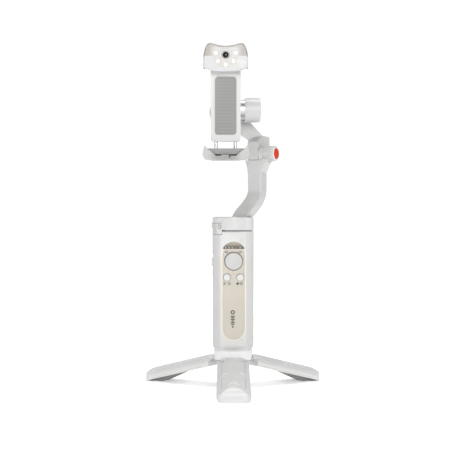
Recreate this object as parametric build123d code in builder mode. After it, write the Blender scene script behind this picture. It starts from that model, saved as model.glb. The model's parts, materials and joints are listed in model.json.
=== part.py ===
from build123d import *
import math
import os

# Hand-held phone gimbal on a small folding tripod. Millimetres, +Z up, the user stands at -Y.
# The origin is on the floor, on the axis of the handle.

os.makedirs("parts", exist_ok=True)

# ---------------------------------------------------------------- driving dimensions
GAP = 0.3  # ordinary gap between two pieces that move apart
RUN = 0.05  # radial clearance of a running fit

HANDLE_R = 19.3
HANDLE_BOTTOM = 35.3
HANDLE_TOP = 145.9
SHELL_WALL = 2.0
FACET_Y = -15.3  # flat front of the handle
SHELL_SPLIT_Y = 4.5  # seam between the front and the rear shell

PANEL_X = 0.4
PANEL_BOTTOM = 44.4
PANEL_TOP = 136.3
PANEL_WIDTH = 23.0
TRIM_WIDTH = 1.3
PANEL_DEPTH = 2.6  # pocket behind the facet
WINDOW_BOTTOM = 129.7
STATUS_LED_X = (-7.0, -3.85, -0.7, 6.5)
STATUS_LED_Z = 130.7
STATUS_LED_R = 0.6

JOYSTICK_Z = 118.3
JOYSTICK_R = 8.1
BUTTON_Z = 103.2
BUTTON_R = 3.3
BUTTON_DX = 6.2
BUTTON_TRAVEL = 0.8
SLIDER_Z = 117.4

FOLD_Y = 22.9  # hinge between the handle and the pan motor
FOLD_Z = 146.6
FOLD_KNUCKLE_R = 3.1
FOLD_PIN_R = 1.3

PAN_BOTTOM = 147.0
PAN_TOP = 159.0
LATCH_ANGLE = -155.0  # direction in which the latch faces
LATCH_HALF = 9.3
LATCH_LOW = 142.9
LATCH_HIGH = 153.4
LATCH_THICK = 1.3
LATCH_TRAVEL = 1.0

ARM_TURN = -27.0  # the arm's section is turned about Z
ARM_X = 23.3  # middle of the upright part of the lower arm
ARM_Y = 18.0
ARM_TOP = 213.4
ARM_FOLD_Z = 219.5
BARREL_R = 7.3
BARREL_START = 4.4  # along the barrel's axis, from the middle of the arm
BARREL_END = 19.6
KNUCKLE_R = 5.8
ARM_PIN_R = 2.5

ROLL_X = -7.0
ROLL_Z = 260.6
ROLL_FRONT = 26.6  # front face of the roll housing
ROLL_BACK = 41.6
ROLL_R = 15.5
TILT_Y = 5.5
TILT_R = 11.0
TILT_LEFT = 10.0
TILT_RIGHT = 25.4

CLAMP_LEFT = -21.0
CLAMP_RIGHT = 7.0
CLAMP_FRONT = -7.4
CLAMP_BACK = 1.0
CLAMP_BOTTOM = 230.0
PHONE_BACK = -8.0
PHONE_FRONT = -16.0
SEAT_BOTTOM = 222.7
SEAT_TOP = 298.5
LIP_FRONT = -18.5
JAW_X = -6.65
JAW_HALF = 21.65
JAW_BOTTOM = 212.2
JAW_BACK = -8.25
ROD_X = (-16.0, 2.0)
ROD_Y = -3.2
ROD_R = 1.6

SENSOR_X = -7.0
SENSOR_LENS_Z = 308.8
SENSOR_FRONT = -20.2
SENSOR_SEAM = -12.0
SENSOR_BACK = -2.0
SENSOR_BASE = 302.3
SENSOR_BOTTOM = 293.3

COLLAR_R = 18.0
COLLAR_BOTTOM = 25.9
COLLAR_TOP = HANDLE_BOTTOM
COLLAR_BORE = 15.8
LEG_ANGLES = {"front": -90.0, "right": 30.0, "left": 150.0}
LEG_PIN_RADIUS = 11.0  # distance of a leg's pin from the axis of the handle
LEG_PIN_Z = 25.0
LEG_KNUCKLE_R = 3.2
LEG_SLOPE = 14.7
LEG_ROOT_HALF = 14.6
LEG_TIP_HALF = 15.1
LEG_CROWN_R = 18.3  # three folded legs make one round stick
LEG_NOSE = 85.0
LEG_TIP = 92.0
TONGUE_WIDTH = 12.0
STUD_R = 3.175  # 1/4 inch thread

# ---------------------------------------------------------------- frames
SIDE = Plane(origin=(0, 0, 0), x_dir=(0, 1, 0), z_dir=(1, 0, 0))  # local x = Y, local y = Z
ARM_ALONG = Vector(1, 0, 0).rotate(Axis.Z, ARM_TURN)
ARM_DEEP = Vector(0, 1, 0).rotate(Axis.Z, ARM_TURN)


def facing_front(y):
    """Plane at depth y whose local x is X, local y is Z and whose normal points to -Y."""
    return Plane(origin=(0, y, 0), x_dir=(1, 0, 0), z_dir=(0, -1, 0))


def leg_plane(angle):
    """Upright plane through the axis: local x points outwards along a leg, local y is Z."""
    direction = Vector(1, 0, 0).rotate(Axis.Z, angle)
    return Plane(origin=(0, 0, 0), x_dir=direction, z_dir=direction.cross(Vector(0, 0, 1)))


def barrel_plane(offset):
    """Plane across the barrel, at a distance along it from the middle of the arm."""
    origin = Vector(ARM_X, ARM_Y, ARM_FOLD_Z) + ARM_ALONG * offset
    return Plane(origin=origin, x_dir=ARM_DEEP, z_dir=ARM_ALONG)


def arm_section(x, y, z):
    """Level plane whose local x runs along the barrel."""
    return Plane(origin=(x, y, z), x_dir=ARM_ALONG, z_dir=(0, 0, 1))


# ---------------------------------------------------------------- tripod: collar, base, stud
with BuildPart() as tripod_collar:
    with BuildSketch(Plane.XZ):
        with BuildLine():
            Polyline(
                (STUD_R + 0.3, COLLAR_TOP),
                (STUD_R + 0.3, 29.5),
                (COLLAR_BORE, 29.5),
                (COLLAR_BORE, COLLAR_BOTTOM),
                (COLLAR_R, COLLAR_BOTTOM),
                (COLLAR_R, COLLAR_TOP - 0.6),
                (COLLAR_R - 0.6, COLLAR_TOP),
                (STUD_R + 0.3, COLLAR_TOP),
            )
        make_face()
    revolve(axis=Axis.Z)
tripod_collar.part.label = "tripod_collar"
export_step(tripod_collar.part, "parts/tripod_collar.step")

with BuildPart() as tripod_base:
    with BuildSketch(Plane.XZ):
        with BuildLine():
            Polyline(
                (0, 20.4), (14.6, 20.4), (17.6, 25.5), (15.5, 25.5), (15.5, 29.5), (0, 29.5), (0, 20.4)
            )
        make_face()
    revolve(axis=Axis.Z)
    for leg_angle in LEG_ANGLES.values():
        # slot for the leg's tongue, open outwards, upwards and downwards
        with BuildSketch(leg_plane(leg_angle)):
            with Locations((LEG_PIN_RADIUS - 3.9 + 10, 25)):
                Rectangle(20, 14)
        extrude(amount=TONGUE_WIDTH / 2 + 0.25, both=True, mode=Mode.SUBTRACT)
        with BuildSketch(leg_plane(leg_angle)):
            with Locations((LEG_PIN_RADIUS, LEG_PIN_Z)):
                Circle(1.25)
        extrude(amount=9.0, both=True, mode=Mode.SUBTRACT)
    with BuildSketch(Plane.XY.offset(20)):
        Circle(STUD_R - 0.2)
    extrude(amount=10, mode=Mode.SUBTRACT)
tripod_base.part.label = "tripod_base"
export_step(tripod_base.part, "parts/tripod_base.step")

with BuildPart() as tripod_stud:
    with BuildSketch(Plane.XY.offset(21.4)):
        Circle(STUD_R - 0.2)
    extrude(amount=8.1)
    with BuildSketch(Plane.XY.offset(29.5)):
        Circle(STUD_R)
    extrude(amount=12.5)
    chamfer(tripod_stud.edges().filter_by(GeomType.CIRCLE).sort_by(Axis.Z)[-1], 0.6)
tripod_stud.part.label = "tripod_stud"
export_step(tripod_stud.part, "parts/tripod_stud.step")

with BuildPart() as leg_pins:
    for leg_angle in LEG_ANGLES.values():
        with BuildSketch(leg_plane(leg_angle)):
            with Locations((LEG_PIN_RADIUS, LEG_PIN_Z)):
                Circle(1.25)
        extrude(amount=8.9, both=True)
leg_pins.part.label = "leg_pins"
export_step(leg_pins.part, "parts/leg_pins.step")

# ---------------------------------------------------------------- tripod: three legs
LEG_FALL = math.tan(math.radians(LEG_SLOPE))
LEG_ROOT = 18.6
LEG_ROOT_TOP = 30.6
LEG_DEPTH = 11.4
SECTION_START = 8.0
SECTION_END = 96.0
GROOVE_OUT = 10.6
BLOCK_TOP = 28.6
BLOCK_HALF = 8.7
SHOULDER_END = 31.0


def leg_top(radius):
    """Height of the leg's crown line."""
    return LEG_ROOT_TOP - (radius - LEG_ROOT) * LEG_FALL


def leg_bottom(radius):
    """Height of the leg's bottom face."""
    return leg_top(radius) - LEG_DEPTH


def crown_drop(across):
    """How far the crowned top has fallen at a distance across the leg."""
    return LEG_CROWN_R - math.sqrt(LEG_CROWN_R**2 - across**2)


def across_plane(angle, radius):
    """Upright plane across a leg: local x runs across it, local y is Z."""
    frame = leg_plane(angle)
    return Plane(origin=frame.x_dir * radius, x_dir=-frame.z_dir, z_dir=frame.x_dir)


for leg_name, leg_angle in LEG_ANGLES.items():
    with BuildPart() as leg:
        # crowned section, a little wider at the tip
        for radius, half in ((SECTION_START, LEG_ROOT_HALF), (SECTION_END, LEG_TIP_HALF)):
            with BuildSketch(across_plane(leg_angle, radius)):
                with BuildLine():
                    shoulder = leg_top(radius) - crown_drop(half)
                    ThreePointArc((-half, shoulder), (0, leg_top(radius)), (half, shoulder))
                    Polyline(
                        (half, shoulder),
                        (half, leg_bottom(radius) + 2.2),
                        (half - 1.5, leg_bottom(radius)),
                        (1.5 - half, leg_bottom(radius)),
                        (-half, leg_bottom(radius) + 2.2),
                        (-half, shoulder),
                    )
                make_face()
        loft(ruled=True)
        # rounded nose in side view
        with BuildSketch(leg_plane(leg_angle)):
            with BuildLine():
                Line((0, 60), (LEG_NOSE, 60))
                Line((LEG_NOSE, 60), (LEG_NOSE, leg_top(LEG_NOSE)))
                TangentArc((LEG_NOSE, leg_top(LEG_NOSE)), (LEG_TIP, 4.4), tangent=(1, -LEG_FALL))
                Polyline((LEG_TIP, 4.4), (LEG_TIP - 0.8, -10), (0, -10), (0, 60))
            make_face()
        extrude(amount=LEG_TIP_HALF + 1, both=True, mode=Mode.INTERSECT)
        # tip corners rounded in plan
        with BuildSketch(Plane(origin=(0, 0, 0), x_dir=leg_plane(leg_angle).x_dir, z_dir=(0, 0, 1))):
            with Locations((LEG_TIP / 2, 0)):
                RectangleRounded(LEG_TIP, 2 * LEG_TIP_HALF, 8.0)
            with Locations((LEG_TIP / 4, 0)):
                Rectangle(LEG_TIP / 2, 2 * LEG_TIP_HALF)
        extrude(amount=40, mode=Mode.INTERSECT)
        # the root follows the collar above, and is square below so that the leg can swing
        with BuildSketch(Plane.XY):
            Circle(COLLAR_R + 0.4)
        extrude(amount=40, mode=Mode.SUBTRACT)
        with BuildSketch(leg_plane(leg_angle)):
            with Locations((LEG_ROOT - 10, 26.2 - 10)):
                Rectangle(20, 20)
        extrude(amount=LEG_TIP_HALF + 1, both=True, mode=Mode.SUBTRACT)
        # level top on the hinge block, and shoulders cut away beside it
        with BuildSketch(leg_plane(leg_angle)):
            with Locations((LEG_ROOT, BLOCK_TOP + 10)):
                Rectangle(40, 20)
        extrude(amount=LEG_TIP_HALF + 1, both=True, mode=Mode.SUBTRACT)
        for side in (-1, 1):
            with BuildSketch(leg_plane(leg_angle).offset(side * (BLOCK_HALF + 5))):
                with BuildLine():
                    Polyline(
                        (LEG_ROOT - 2, 24.3),
                        (LEG_ROOT, 24.3),
                        (SHOULDER_END, leg_top(SHOULDER_END)),
                        (SHOULDER_END, 40),
                        (LEG_ROOT - 2, 40),
                        (LEG_ROOT - 2, 24.3),
                    )
                make_face()
            extrude(amount=5, both=True, mode=Mode.SUBTRACT)
        # two grooves along the top, each broken once
        groove_drop = crown_drop(GROOVE_OUT)
        for side in (-1, 1):
            for start, end in ((27.0, 50.0), (58.5, 83.0)):
                with BuildSketch(leg_plane(leg_angle).offset(side * GROOVE_OUT)):
                    with BuildLine():
                        Polyline(
                            (start, leg_top(start) - groove_drop + 1.5),
                            (end, leg_top(end) - groove_drop + 1.5),
                            (end, leg_top(end) - groove_drop - 0.55),
                            (start, leg_top(start) - groove_drop - 0.55),
                            (start, leg_top(start) - groove_drop + 1.5),
                        )
                    make_face()
                extrude(amount=0.4, both=True, mode=Mode.SUBTRACT)
        # tongue and knuckle
        with BuildSketch(leg_plane(leg_angle)):
            with Locations((LEG_PIN_RADIUS, LEG_PIN_Z)):
                Circle(LEG_KNUCKLE_R)
            with BuildLine():
                Polyline(
                    (LEG_PIN_RADIUS, LEG_PIN_Z - LEG_KNUCKLE_R + 0.1),
                    (LEG_ROOT + 2, leg_bottom(LEG_ROOT + 2) + 0.6),
                    (LEG_ROOT + 2, 25.3),
                    (LEG_PIN_RADIUS + 3.1, 25.3),
                    (LEG_PIN_RADIUS, LEG_PIN_Z - LEG_KNUCKLE_R + 0.1),
                )
            make_face()
        extrude(amount=TONGUE_WIDTH / 2, both=True)
        with BuildSketch(leg_plane(leg_angle)):
            with Locations((LEG_PIN_RADIUS, LEG_PIN_Z)):
                Circle(1.25 + RUN)
        extrude(amount=10, both=True, mode=Mode.SUBTRACT)
    leg.part.label = f"leg_{leg_name}"
    export_step(leg.part, f"parts/leg_{leg_name}.step")

    with BuildPart() as foot:
        # rubber wedge, flat on the floor
        with BuildSketch(leg_plane(leg_angle)):
            with BuildLine():
                Polyline(
                    (54.0, leg_bottom(54.0)),
                    (75.5, 0),
                    (89.2, 0),
                    (90.2, leg_bottom(90.2)),
                    (54.0, leg_bottom(54.0)),
                )
            make_face()
        extrude(amount=9.0, both=True)
        # narrower at the floor
        for side in (-1, 1):
            with BuildSketch(across_plane(leg_angle, 50)):
                with BuildLine():
                    Polyline(
                        (side * 10.0, -1),
                        (side * 5.9, -1),
                        (side * 9.0, 5.5),
                        (side * 10.0, 5.5),
                        (side * 10.0, -1),
                    )
                make_face()
            extrude(amount=34, mode=Mode.SUBTRACT)
    foot.part.label = f"foot_{leg_name}"
    export_step(foot.part, f"parts/foot_{leg_name}.step")

# ---------------------------------------------------------------- handle shells
with BuildPart() as handle_outer:
    with BuildSketch(Plane.XY.offset(HANDLE_BOTTOM - 1.0)):
        Circle(HANDLE_R)
        with Locations((0, FACET_Y - 10)):
            Rectangle(60, 20, mode=Mode.SUBTRACT)
    extrude(amount=HANDLE_TOP - HANDLE_BOTTOM + 1.0)
    fillet(handle_outer.faces().sort_by(Axis.Z)[0].edges(), 6.0)
    split(bisect_by=Plane.XY.offset(HANDLE_BOTTOM), keep=Keep.TOP)
    fillet(handle_outer.faces().sort_by(Axis.Z)[-1].edges(), 0.5)
    # hollow inside, closed below and above
    with BuildSketch(Plane.XY.offset(HANDLE_BOTTOM + 9)):
        Circle(HANDLE_R - SHELL_WALL)
        with Locations((0, FACET_Y + PANEL_DEPTH + 1.6 - 10)):
            Rectangle(60, 20, mode=Mode.SUBTRACT)
    extrude(amount=HANDLE_TOP - 6.4 - HANDLE_BOTTOM - 9, mode=Mode.SUBTRACT)
    # bore for the threaded insert
    with BuildSketch(Plane.XY.offset(HANDLE_BOTTOM)):
        Circle(5.5)
    extrude(amount=9, mode=Mode.SUBTRACT)
    # pocket for the control panel
    with BuildSketch(facing_front(FACET_Y)):
        with Locations((PANEL_X, (PANEL_BOTTOM + PANEL_TOP) / 2)):
            SlotOverall(PANEL_TOP - PANEL_BOTTOM, PANEL_WIDTH, rotation=90)
    extrude(amount=-PANEL_DEPTH, mode=Mode.SUBTRACT)
    # openings behind the controls
    with BuildSketch(facing_front(FACET_Y + PANEL_DEPTH)):
        with Locations((PANEL_X, JOYSTICK_Z)):
            Circle(JOYSTICK_R + 0.7)
        with Locations((PANEL_X - BUTTON_DX, BUTTON_Z), (PANEL_X + BUTTON_DX, BUTTON_Z)):
            Circle(BUTTON_R + 0.7)
    extrude(amount=-4, mode=Mode.SUBTRACT)
    # slot for the zoom slider on the left side
    with BuildSketch(Plane.YZ.offset(-HANDLE_R - 1)):
        with Locations((0, SLIDER_Z)):
            SlotOverall(15.0, 6.6, rotation=90)
    extrude(amount=6, mode=Mode.SUBTRACT)
    # opening for the charging socket on the right side
    with BuildSketch(Plane.YZ.offset(HANDLE_R - 7.5)):
        with Locations((0, 62)):
            SlotOverall(9.3, 3.6, rotation=90)
    extrude(amount=9, mode=Mode.SUBTRACT)
    # recess for the lower end of the latch
    latch_frame = Plane(
        origin=(0, 0, 0),
        x_dir=Vector(0, 1, 0).rotate(Axis.Z, LATCH_ANGLE),
        z_dir=Vector(1, 0, 0).rotate(Axis.Z, LATCH_ANGLE),
    )
    latch_inner = HANDLE_R * math.cos(math.asin(LATCH_HALF / HANDLE_R)) - LATCH_THICK
    with BuildSketch(latch_frame.offset(latch_inner - LATCH_TRAVEL - GAP)):
        with Locations((0, (LATCH_LOW - GAP + HANDLE_TOP + 1) / 2)):
            Rectangle(2 * (LATCH_HALF + GAP), HANDLE_TOP + 1 - LATCH_LOW + GAP)
    extrude(amount=10, mode=Mode.SUBTRACT)
    # outer knuckles of the fold hinge
    for knuckle_x in (-8.9, 8.9):
        with BuildSketch(SIDE.offset(knuckle_x)):
            with Locations((FOLD_Y, FOLD_Z)):
                Circle(FOLD_KNUCKLE_R)
            with BuildLine():
                Polyline(
                    (FOLD_Y + FOLD_KNUCKLE_R, FOLD_Z),
                    (FOLD_Y + FOLD_KNUCKLE_R, 142.0),
                    (15.5, 134.0),
                    (15.5, 144.9),
                    (FOLD_Y - 2.2, 144.9),
                    (FOLD_Y, FOLD_Z),
                    (FOLD_Y + FOLD_KNUCKLE_R, FOLD_Z),
                )
            make_face()
        extrude(amount=2.4, both=True)
    with BuildSketch(SIDE):
        with Locations((FOLD_Y, FOLD_Z)):
            Circle(FOLD_PIN_R)
    extrude(amount=12, both=True, mode=Mode.SUBTRACT)

with BuildPart() as handle_front_shell:
    add(handle_outer.part)
    split(bisect_by=Plane.XZ.offset(-SHELL_SPLIT_Y), keep=Keep.TOP)
handle_front_shell.part.label = "handle_front_shell"
export_step(handle_front_shell.part, "parts/handle_front_shell.step")

with BuildPart() as handle_rear_shell:
    add(handle_outer.part)
    split(bisect_by=Plane.XZ.offset(-SHELL_SPLIT_Y), keep=Keep.BOTTOM)
handle_rear_shell.part.label = "handle_rear_shell"
export_step(handle_rear_shell.part, "parts/handle_rear_shell.step")

with BuildPart() as thread_insert:
    with BuildSketch(Plane.XY.offset(HANDLE_BOTTOM)):
        Circle(5.5)
        Circle(STUD_R, mode=Mode.SUBTRACT)
    extrude(amount=9.0)
thread_insert.part.label = "thread_insert"
export_step(thread_insert.part, "parts/thread_insert.step")

with BuildPart() as neck_gasket:
    with BuildSketch(Plane.XY.offset(HANDLE_TOP)):
        Circle(HANDLE_R - 0.9)
        Circle(12.0, mode=Mode.SUBTRACT)
        with Locations(Location((0, 0, 0), (0, 0, LATCH_ANGLE))):
            with Locations((22.5, 0)):
                Rectangle(20, 24, mode=Mode.SUBTRACT)
    extrude(amount=PAN_BOTTOM - HANDLE_TOP - 0.3)
neck_gasket.part.label = "neck_gasket"
export_step(neck_gasket.part, "parts/neck_gasket.step")

with BuildPart() as fold_pin:
    with BuildSketch(SIDE):
        with Locations((FOLD_Y, FOLD_Z)):
            Circle(FOLD_PIN_R)
    extrude(amount=11.2, both=True)
fold_pin.part.label = "fold_pin"
export_step(fold_pin.part, "parts/fold_pin.step")

# ---------------------------------------------------------------- control panel
PANEL_MID = (PANEL_BOTTOM + PANEL_TOP) / 2
with BuildPart() as control_panel:
    with BuildSketch(facing_front(FACET_Y + PANEL_DEPTH)):
        with Locations((PANEL_X, PANEL_MID)):
            SlotOverall(
                PANEL_TOP - PANEL_BOTTOM - 2 * TRIM_WIDTH, PANEL_WIDTH - 2 * TRIM_WIDTH, rotation=90
            )
        with Locations((PANEL_X, WINDOW_BOTTOM + 10)):
            Rectangle(30, 20, mode=Mode.SUBTRACT)
        with Locations((PANEL_X, JOYSTICK_Z)):
            Circle(JOYSTICK_R + 0.6, mode=Mode.SUBTRACT)
        with Locations((PANEL_X - BUTTON_DX, BUTTON_Z), (PANEL_X + BUTTON_DX, BUTTON_Z)):
            Circle(BUTTON_R + 0.3, mode=Mode.SUBTRACT)
    extrude(amount=PANEL_DEPTH - 0.5)
control_panel.part.label = "control_panel"
export_step(control_panel.part, "parts/control_panel.step")

with BuildPart() as panel_trim:
    with BuildSketch(facing_front(FACET_Y + PANEL_DEPTH)):
        with Locations((PANEL_X, PANEL_MID)):
            SlotOverall(PANEL_TOP - PANEL_BOTTOM, PANEL_WIDTH, rotation=90)
            SlotOverall(
                PANEL_TOP - PANEL_BOTTOM - 2 * TRIM_WIDTH,
                PANEL_WIDTH - 2 * TRIM_WIDTH,
                rotation=90,
                mode=Mode.SUBTRACT,
            )
    extrude(amount=PANEL_DEPTH + 0.1)
panel_trim.part.label = "panel_trim"
export_step(panel_trim.part, "parts/panel_trim.step")

with BuildPart() as status_window:
    with BuildSketch(facing_front(FACET_Y + PANEL_DEPTH)):
        with Locations((PANEL_X, PANEL_MID)):
            SlotOverall(
                PANEL_TOP - PANEL_BOTTOM - 2 * TRIM_WIDTH, PANEL_WIDTH - 2 * TRIM_WIDTH, rotation=90
            )
        with Locations((PANEL_X, WINDOW_BOTTOM - 50)):
            Rectangle(30, 100, mode=Mode.SUBTRACT)
        for led_x in STATUS_LED_X:
            with Locations((led_x, STATUS_LED_Z)):
                Circle(STATUS_LED_R, mode=Mode.SUBTRACT)
    extrude(amount=PANEL_DEPTH - 0.4)
status_window.part.label = "status_window"
export_step(status_window.part, "parts/status_window.step")

with BuildPart() as status_leds:
    with BuildSketch(facing_front(FACET_Y + PANEL_DEPTH)):
        for led_x in STATUS_LED_X:
            with Locations((led_x, STATUS_LED_Z)):
                Circle(STATUS_LED_R)
    extrude(amount=PANEL_DEPTH - 0.4)
status_leds.part.label = "status_leds"
export_step(status_leds.part, "parts/status_leds.step")

# ---------------------------------------------------------------- inside the handle
BOARD_Y = -6.0
with BuildPart() as control_board:
    with BuildSketch(facing_front(BOARD_Y)):
        with Locations((0, 100)):
            RectangleRounded(22, 70, 2)
    extrude(amount=1.2)
    with BuildSketch(facing_front(BOARD_Y - 1.2)):
        with Locations((0, 80), (5, 90), (-6, 88)):
            Rectangle(5, 5)
    extrude(amount=1.0)
control_board.part.label = "control_board"
export_step(control_board.part, "parts/control_board.step")

with BuildPart() as joystick_module:
    with BuildSketch(facing_front(BOARD_Y - 1.2)):
        with Locations((PANEL_X, JOYSTICK_Z)):
            RectangleRounded(11, 11, 1)
    extrude(amount=1.2)
    with BuildSketch(facing_front(BOARD_Y - 2.4)):
        with Locations((PANEL_X - 5.0, JOYSTICK_Z), (PANEL_X + 5.0, JOYSTICK_Z)):
            Rectangle(1.0, 4)
    extrude(amount=3.4)
joystick_module.part.label = "joystick_module"
export_step(joystick_module.part, "parts/joystick_module.step")

with BuildPart() as battery_cell:
    with BuildSketch(Plane.XY.offset(46)):
        with Locations((0, 5.5)):
            Circle(9.1)
    extrude(amount=65)
    chamfer(battery_cell.edges().filter_by(GeomType.CIRCLE), 0.6)
    with BuildSketch(Plane.XY.offset(111)):
        with Locations((0, 5.5)):
            Circle(3.0)
    extrude(amount=1.2)
battery_cell.part.label = "battery_cell"
export_step(battery_cell.part, "parts/battery_cell.step")

with BuildPart() as usb_socket:
    with BuildSketch(Plane.YZ.offset(HANDLE_R - 7.4)):
        with Locations((0, 62)):
            SlotOverall(9.3, 3.6, rotation=90)
    extrude(amount=7.0)
    with BuildSketch(Plane.YZ.offset(HANDLE_R - 0.4)):
        with Locations((0, 62)):
            SlotOverall(8.7, 3.0, rotation=90)
    extrude(amount=-6.0, mode=Mode.SUBTRACT)
    with BuildSketch(Plane.YZ.offset(HANDLE_R - 7.0)):
        with Locations((0, 62)):
            Rectangle(0.8, 6.6)
    extrude(amount=5.4)
usb_socket.part.label = "usb_socket"
export_step(usb_socket.part, "parts/usb_socket.step")

# ---------------------------------------------------------------- joystick, buttons, slider
STICK_Y = -12.0  # depth of the joystick's two tilting axes
with BuildPart() as joystick_yoke:
    with BuildSketch(facing_front(STICK_Y)):
        with Locations((PANEL_X, JOYSTICK_Z)):
            Circle(3.5)
            Circle(2.3, mode=Mode.SUBTRACT)
    extrude(amount=0.45, both=True)
joystick_yoke.part.label = "joystick_yoke"
export_step(joystick_yoke.part, "parts/joystick_yoke.step")

STEM_R = 1.7
STEM_BACK = -9.4
CAP_BACK = -13.4
CAP_FRONT = -16.8
with BuildPart() as joystick_cap:
    # round cap with a dished middle on a short stem
    with BuildSketch(facing_front(CAP_BACK)):
        with Locations((PANEL_X, JOYSTICK_Z)):
            Circle(JOYSTICK_R)
    extrude(amount=CAP_BACK - CAP_FRONT)
    fillet(joystick_cap.faces().sort_by(Axis.Y)[0].edges(), 1.4)
    chamfer(joystick_cap.faces().sort_by(Axis.Y)[-1].edges(), 0.8)
    dish_ball = Plane(origin=(PANEL_X, CAP_FRONT + 0.8 - 28.0, JOYSTICK_Z))
    with Locations(dish_ball):
        Sphere(28.0, mode=Mode.SUBTRACT)
    with BuildSketch(facing_front(STEM_BACK)):
        with Locations((PANEL_X, JOYSTICK_Z)):
            Circle(STEM_R)
    extrude(amount=STEM_BACK - CAP_BACK)
joystick_cap.part.label = "joystick_cap"
export_step(joystick_cap.part, "parts/joystick_cap.step")

for button_name, button_x in (("capture_button", PANEL_X - BUTTON_DX), ("mode_button", PANEL_X + BUTTON_DX)):
    with BuildPart() as button:
        with BuildSketch(facing_front(-11.6)):
            with Locations((button_x, BUTTON_Z)):
                Circle(BUTTON_R)
        extrude(amount=4.1)
        fillet(button.faces().sort_by(Axis.Y)[0].edges(), 0.5)
        with BuildSketch(facing_front(-8.4)):
            with Locations((button_x, BUTTON_Z)):
                Circle(1.2)
        extrude(amount=3.4)
    button.part.label = button_name
    export_step(button.part, f"parts/{button_name}.step")

with BuildPart() as zoom_slider:
    with BuildSketch(Plane.YZ.offset(-HANDLE_R - 1.0)):
        with Locations((0, SLIDER_Z)):
            SlotOverall(8.1, 5.8, rotation=90)
    extrude(amount=4.0)
    fillet(zoom_slider.faces().sort_by(Axis.X)[0].edges(), 0.8)
zoom_slider.part.label = "zoom_slider"
export_step(zoom_slider.part, "parts/zoom_slider.step")

# ---------------------------------------------------------------- motors
POST_BORE = 4.2
POST_R = 5.2
STATOR_R = 9.4
BELL_IN = 10.0
BELL_OUT = 11.4
SHAFT_R = 2.45


def build_stator(base, scale):
    """Nine-slot stator ring seated round the housing's post, on a plane at the housing's floor."""
    with BuildPart() as stator:
        with BuildSketch(base.offset(0.6)):
            Circle(STATOR_R * scale)
            Circle(POST_R * scale, mode=Mode.SUBTRACT)
            with PolarLocations(7.8 * scale, 9):
                Rectangle(3.6 * scale, 1.3 * scale, mode=Mode.SUBTRACT)
        extrude(amount=4.2)
    return stator.part


def build_bearings(base, scale):
    """Bearing inside the post."""
    with BuildPart() as bearing:
        with BuildSketch(base.offset(0.4)):
            Circle(POST_BORE * scale)
            Circle(SHAFT_R * scale + RUN, mode=Mode.SUBTRACT)
        extrude(amount=4.4)
    return bearing.part


def build_rotor(base, scale, disc_r, disc_top):
    """Bell with a shaft and a disc."""
    with BuildPart() as rotor:
        with BuildSketch(base.offset(0.5)):
            Circle(SHAFT_R * scale)
        extrude(amount=6.0)
        with BuildSketch(base.offset(0.9)):
            Circle(BELL_OUT * scale)
            Circle(BELL_IN * scale, mode=Mode.SUBTRACT)
        extrude(amount=6.0)
        with BuildSketch(base.offset(6.1)):
            Circle(disc_r)
        extrude(amount=disc_top - 6.1)
    return rotor.part


# ---------------------------------------------------------------- pan base
PAN_FLOOR = PAN_BOTTOM + 2.0
PAN_BASE = Plane.XY.offset(PAN_FLOOR)
with BuildPart() as pan_housing:
    with BuildSketch(Plane.XY.offset(PAN_BOTTOM)):
        Circle(HANDLE_R)
    extrude(amount=PAN_TOP - PAN_BOTTOM)
    fillet(pan_housing.faces().sort_by(Axis.Z)[0].edges(), 0.5)
    chamfer(pan_housing.faces().sort_by(Axis.Z)[-1].edges(), 0.4)
    with BuildSketch(PAN_BASE):
        Circle(HANDLE_R - 1.8)
    extrude(amount=20, mode=Mode.SUBTRACT)
    with BuildSketch(PAN_BASE):
        Circle(POST_R)
    extrude(amount=5.0)
    with BuildSketch(PAN_BASE):
        Circle(POST_BORE)
    extrude(amount=10, mode=Mode.SUBTRACT)
    # thicker wall behind the latch
    with BuildSketch(latch_frame.offset(11.9)):
        with Locations((0, (PAN_FLOOR + 154.6) / 2)):
            Rectangle(2 * LATCH_HALF + 4, 154.6 - PAN_FLOOR)
    extrude(amount=5.0)
    with BuildSketch(latch_frame.offset(latch_inner - LATCH_TRAVEL - GAP)):
        with Locations((0, (PAN_BOTTOM - 1 + LATCH_HIGH + GAP) / 2)):
            Rectangle(2 * (LATCH_HALF + GAP), LATCH_HIGH + GAP - PAN_BOTTOM + 1)
    extrude(amount=10, mode=Mode.SUBTRACT)
    # middle knuckle of the fold hinge
    with BuildSketch(SIDE):
        with Locations((FOLD_Y, FOLD_Z)):
            Circle(FOLD_KNUCKLE_R)
        with BuildLine():
            Polyline(
                (FOLD_Y, FOLD_Z + 1.0),
                (FOLD_Y + 3.0, FOLD_Z + 1.0),
                (FOLD_Y + 2.0, 150.5),
                (18.0, 156.0),
                (18.0, PAN_BOTTOM + 0.4),
                (FOLD_Y, FOLD_Z + 1.0),
            )
        make_face()
    extrude(amount=6.1, both=True)
    with BuildSketch(SIDE):
        with Locations((FOLD_Y, FOLD_Z)):
            Circle(FOLD_PIN_R + RUN)
    extrude(amount=12, both=True, mode=Mode.SUBTRACT)
pan_housing.part.label = "pan_housing"
export_step(pan_housing.part, "parts/pan_housing.step")

pan_stator = build_stator(PAN_BASE, 1.0)
pan_stator.label = "pan_stator"
export_step(pan_stator, "parts/pan_stator.step")
pan_bearings = build_bearings(PAN_BASE, 1.0)
pan_bearings.label = "pan_bearings"
export_step(pan_bearings, "parts/pan_bearings.step")
pan_rotor = build_rotor(PAN_BASE, 1.0, HANDLE_R - 2.2, PAN_TOP + GAP - PAN_FLOOR)
pan_rotor.label = "pan_rotor"
export_step(pan_rotor, "parts/pan_rotor.step")

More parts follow.
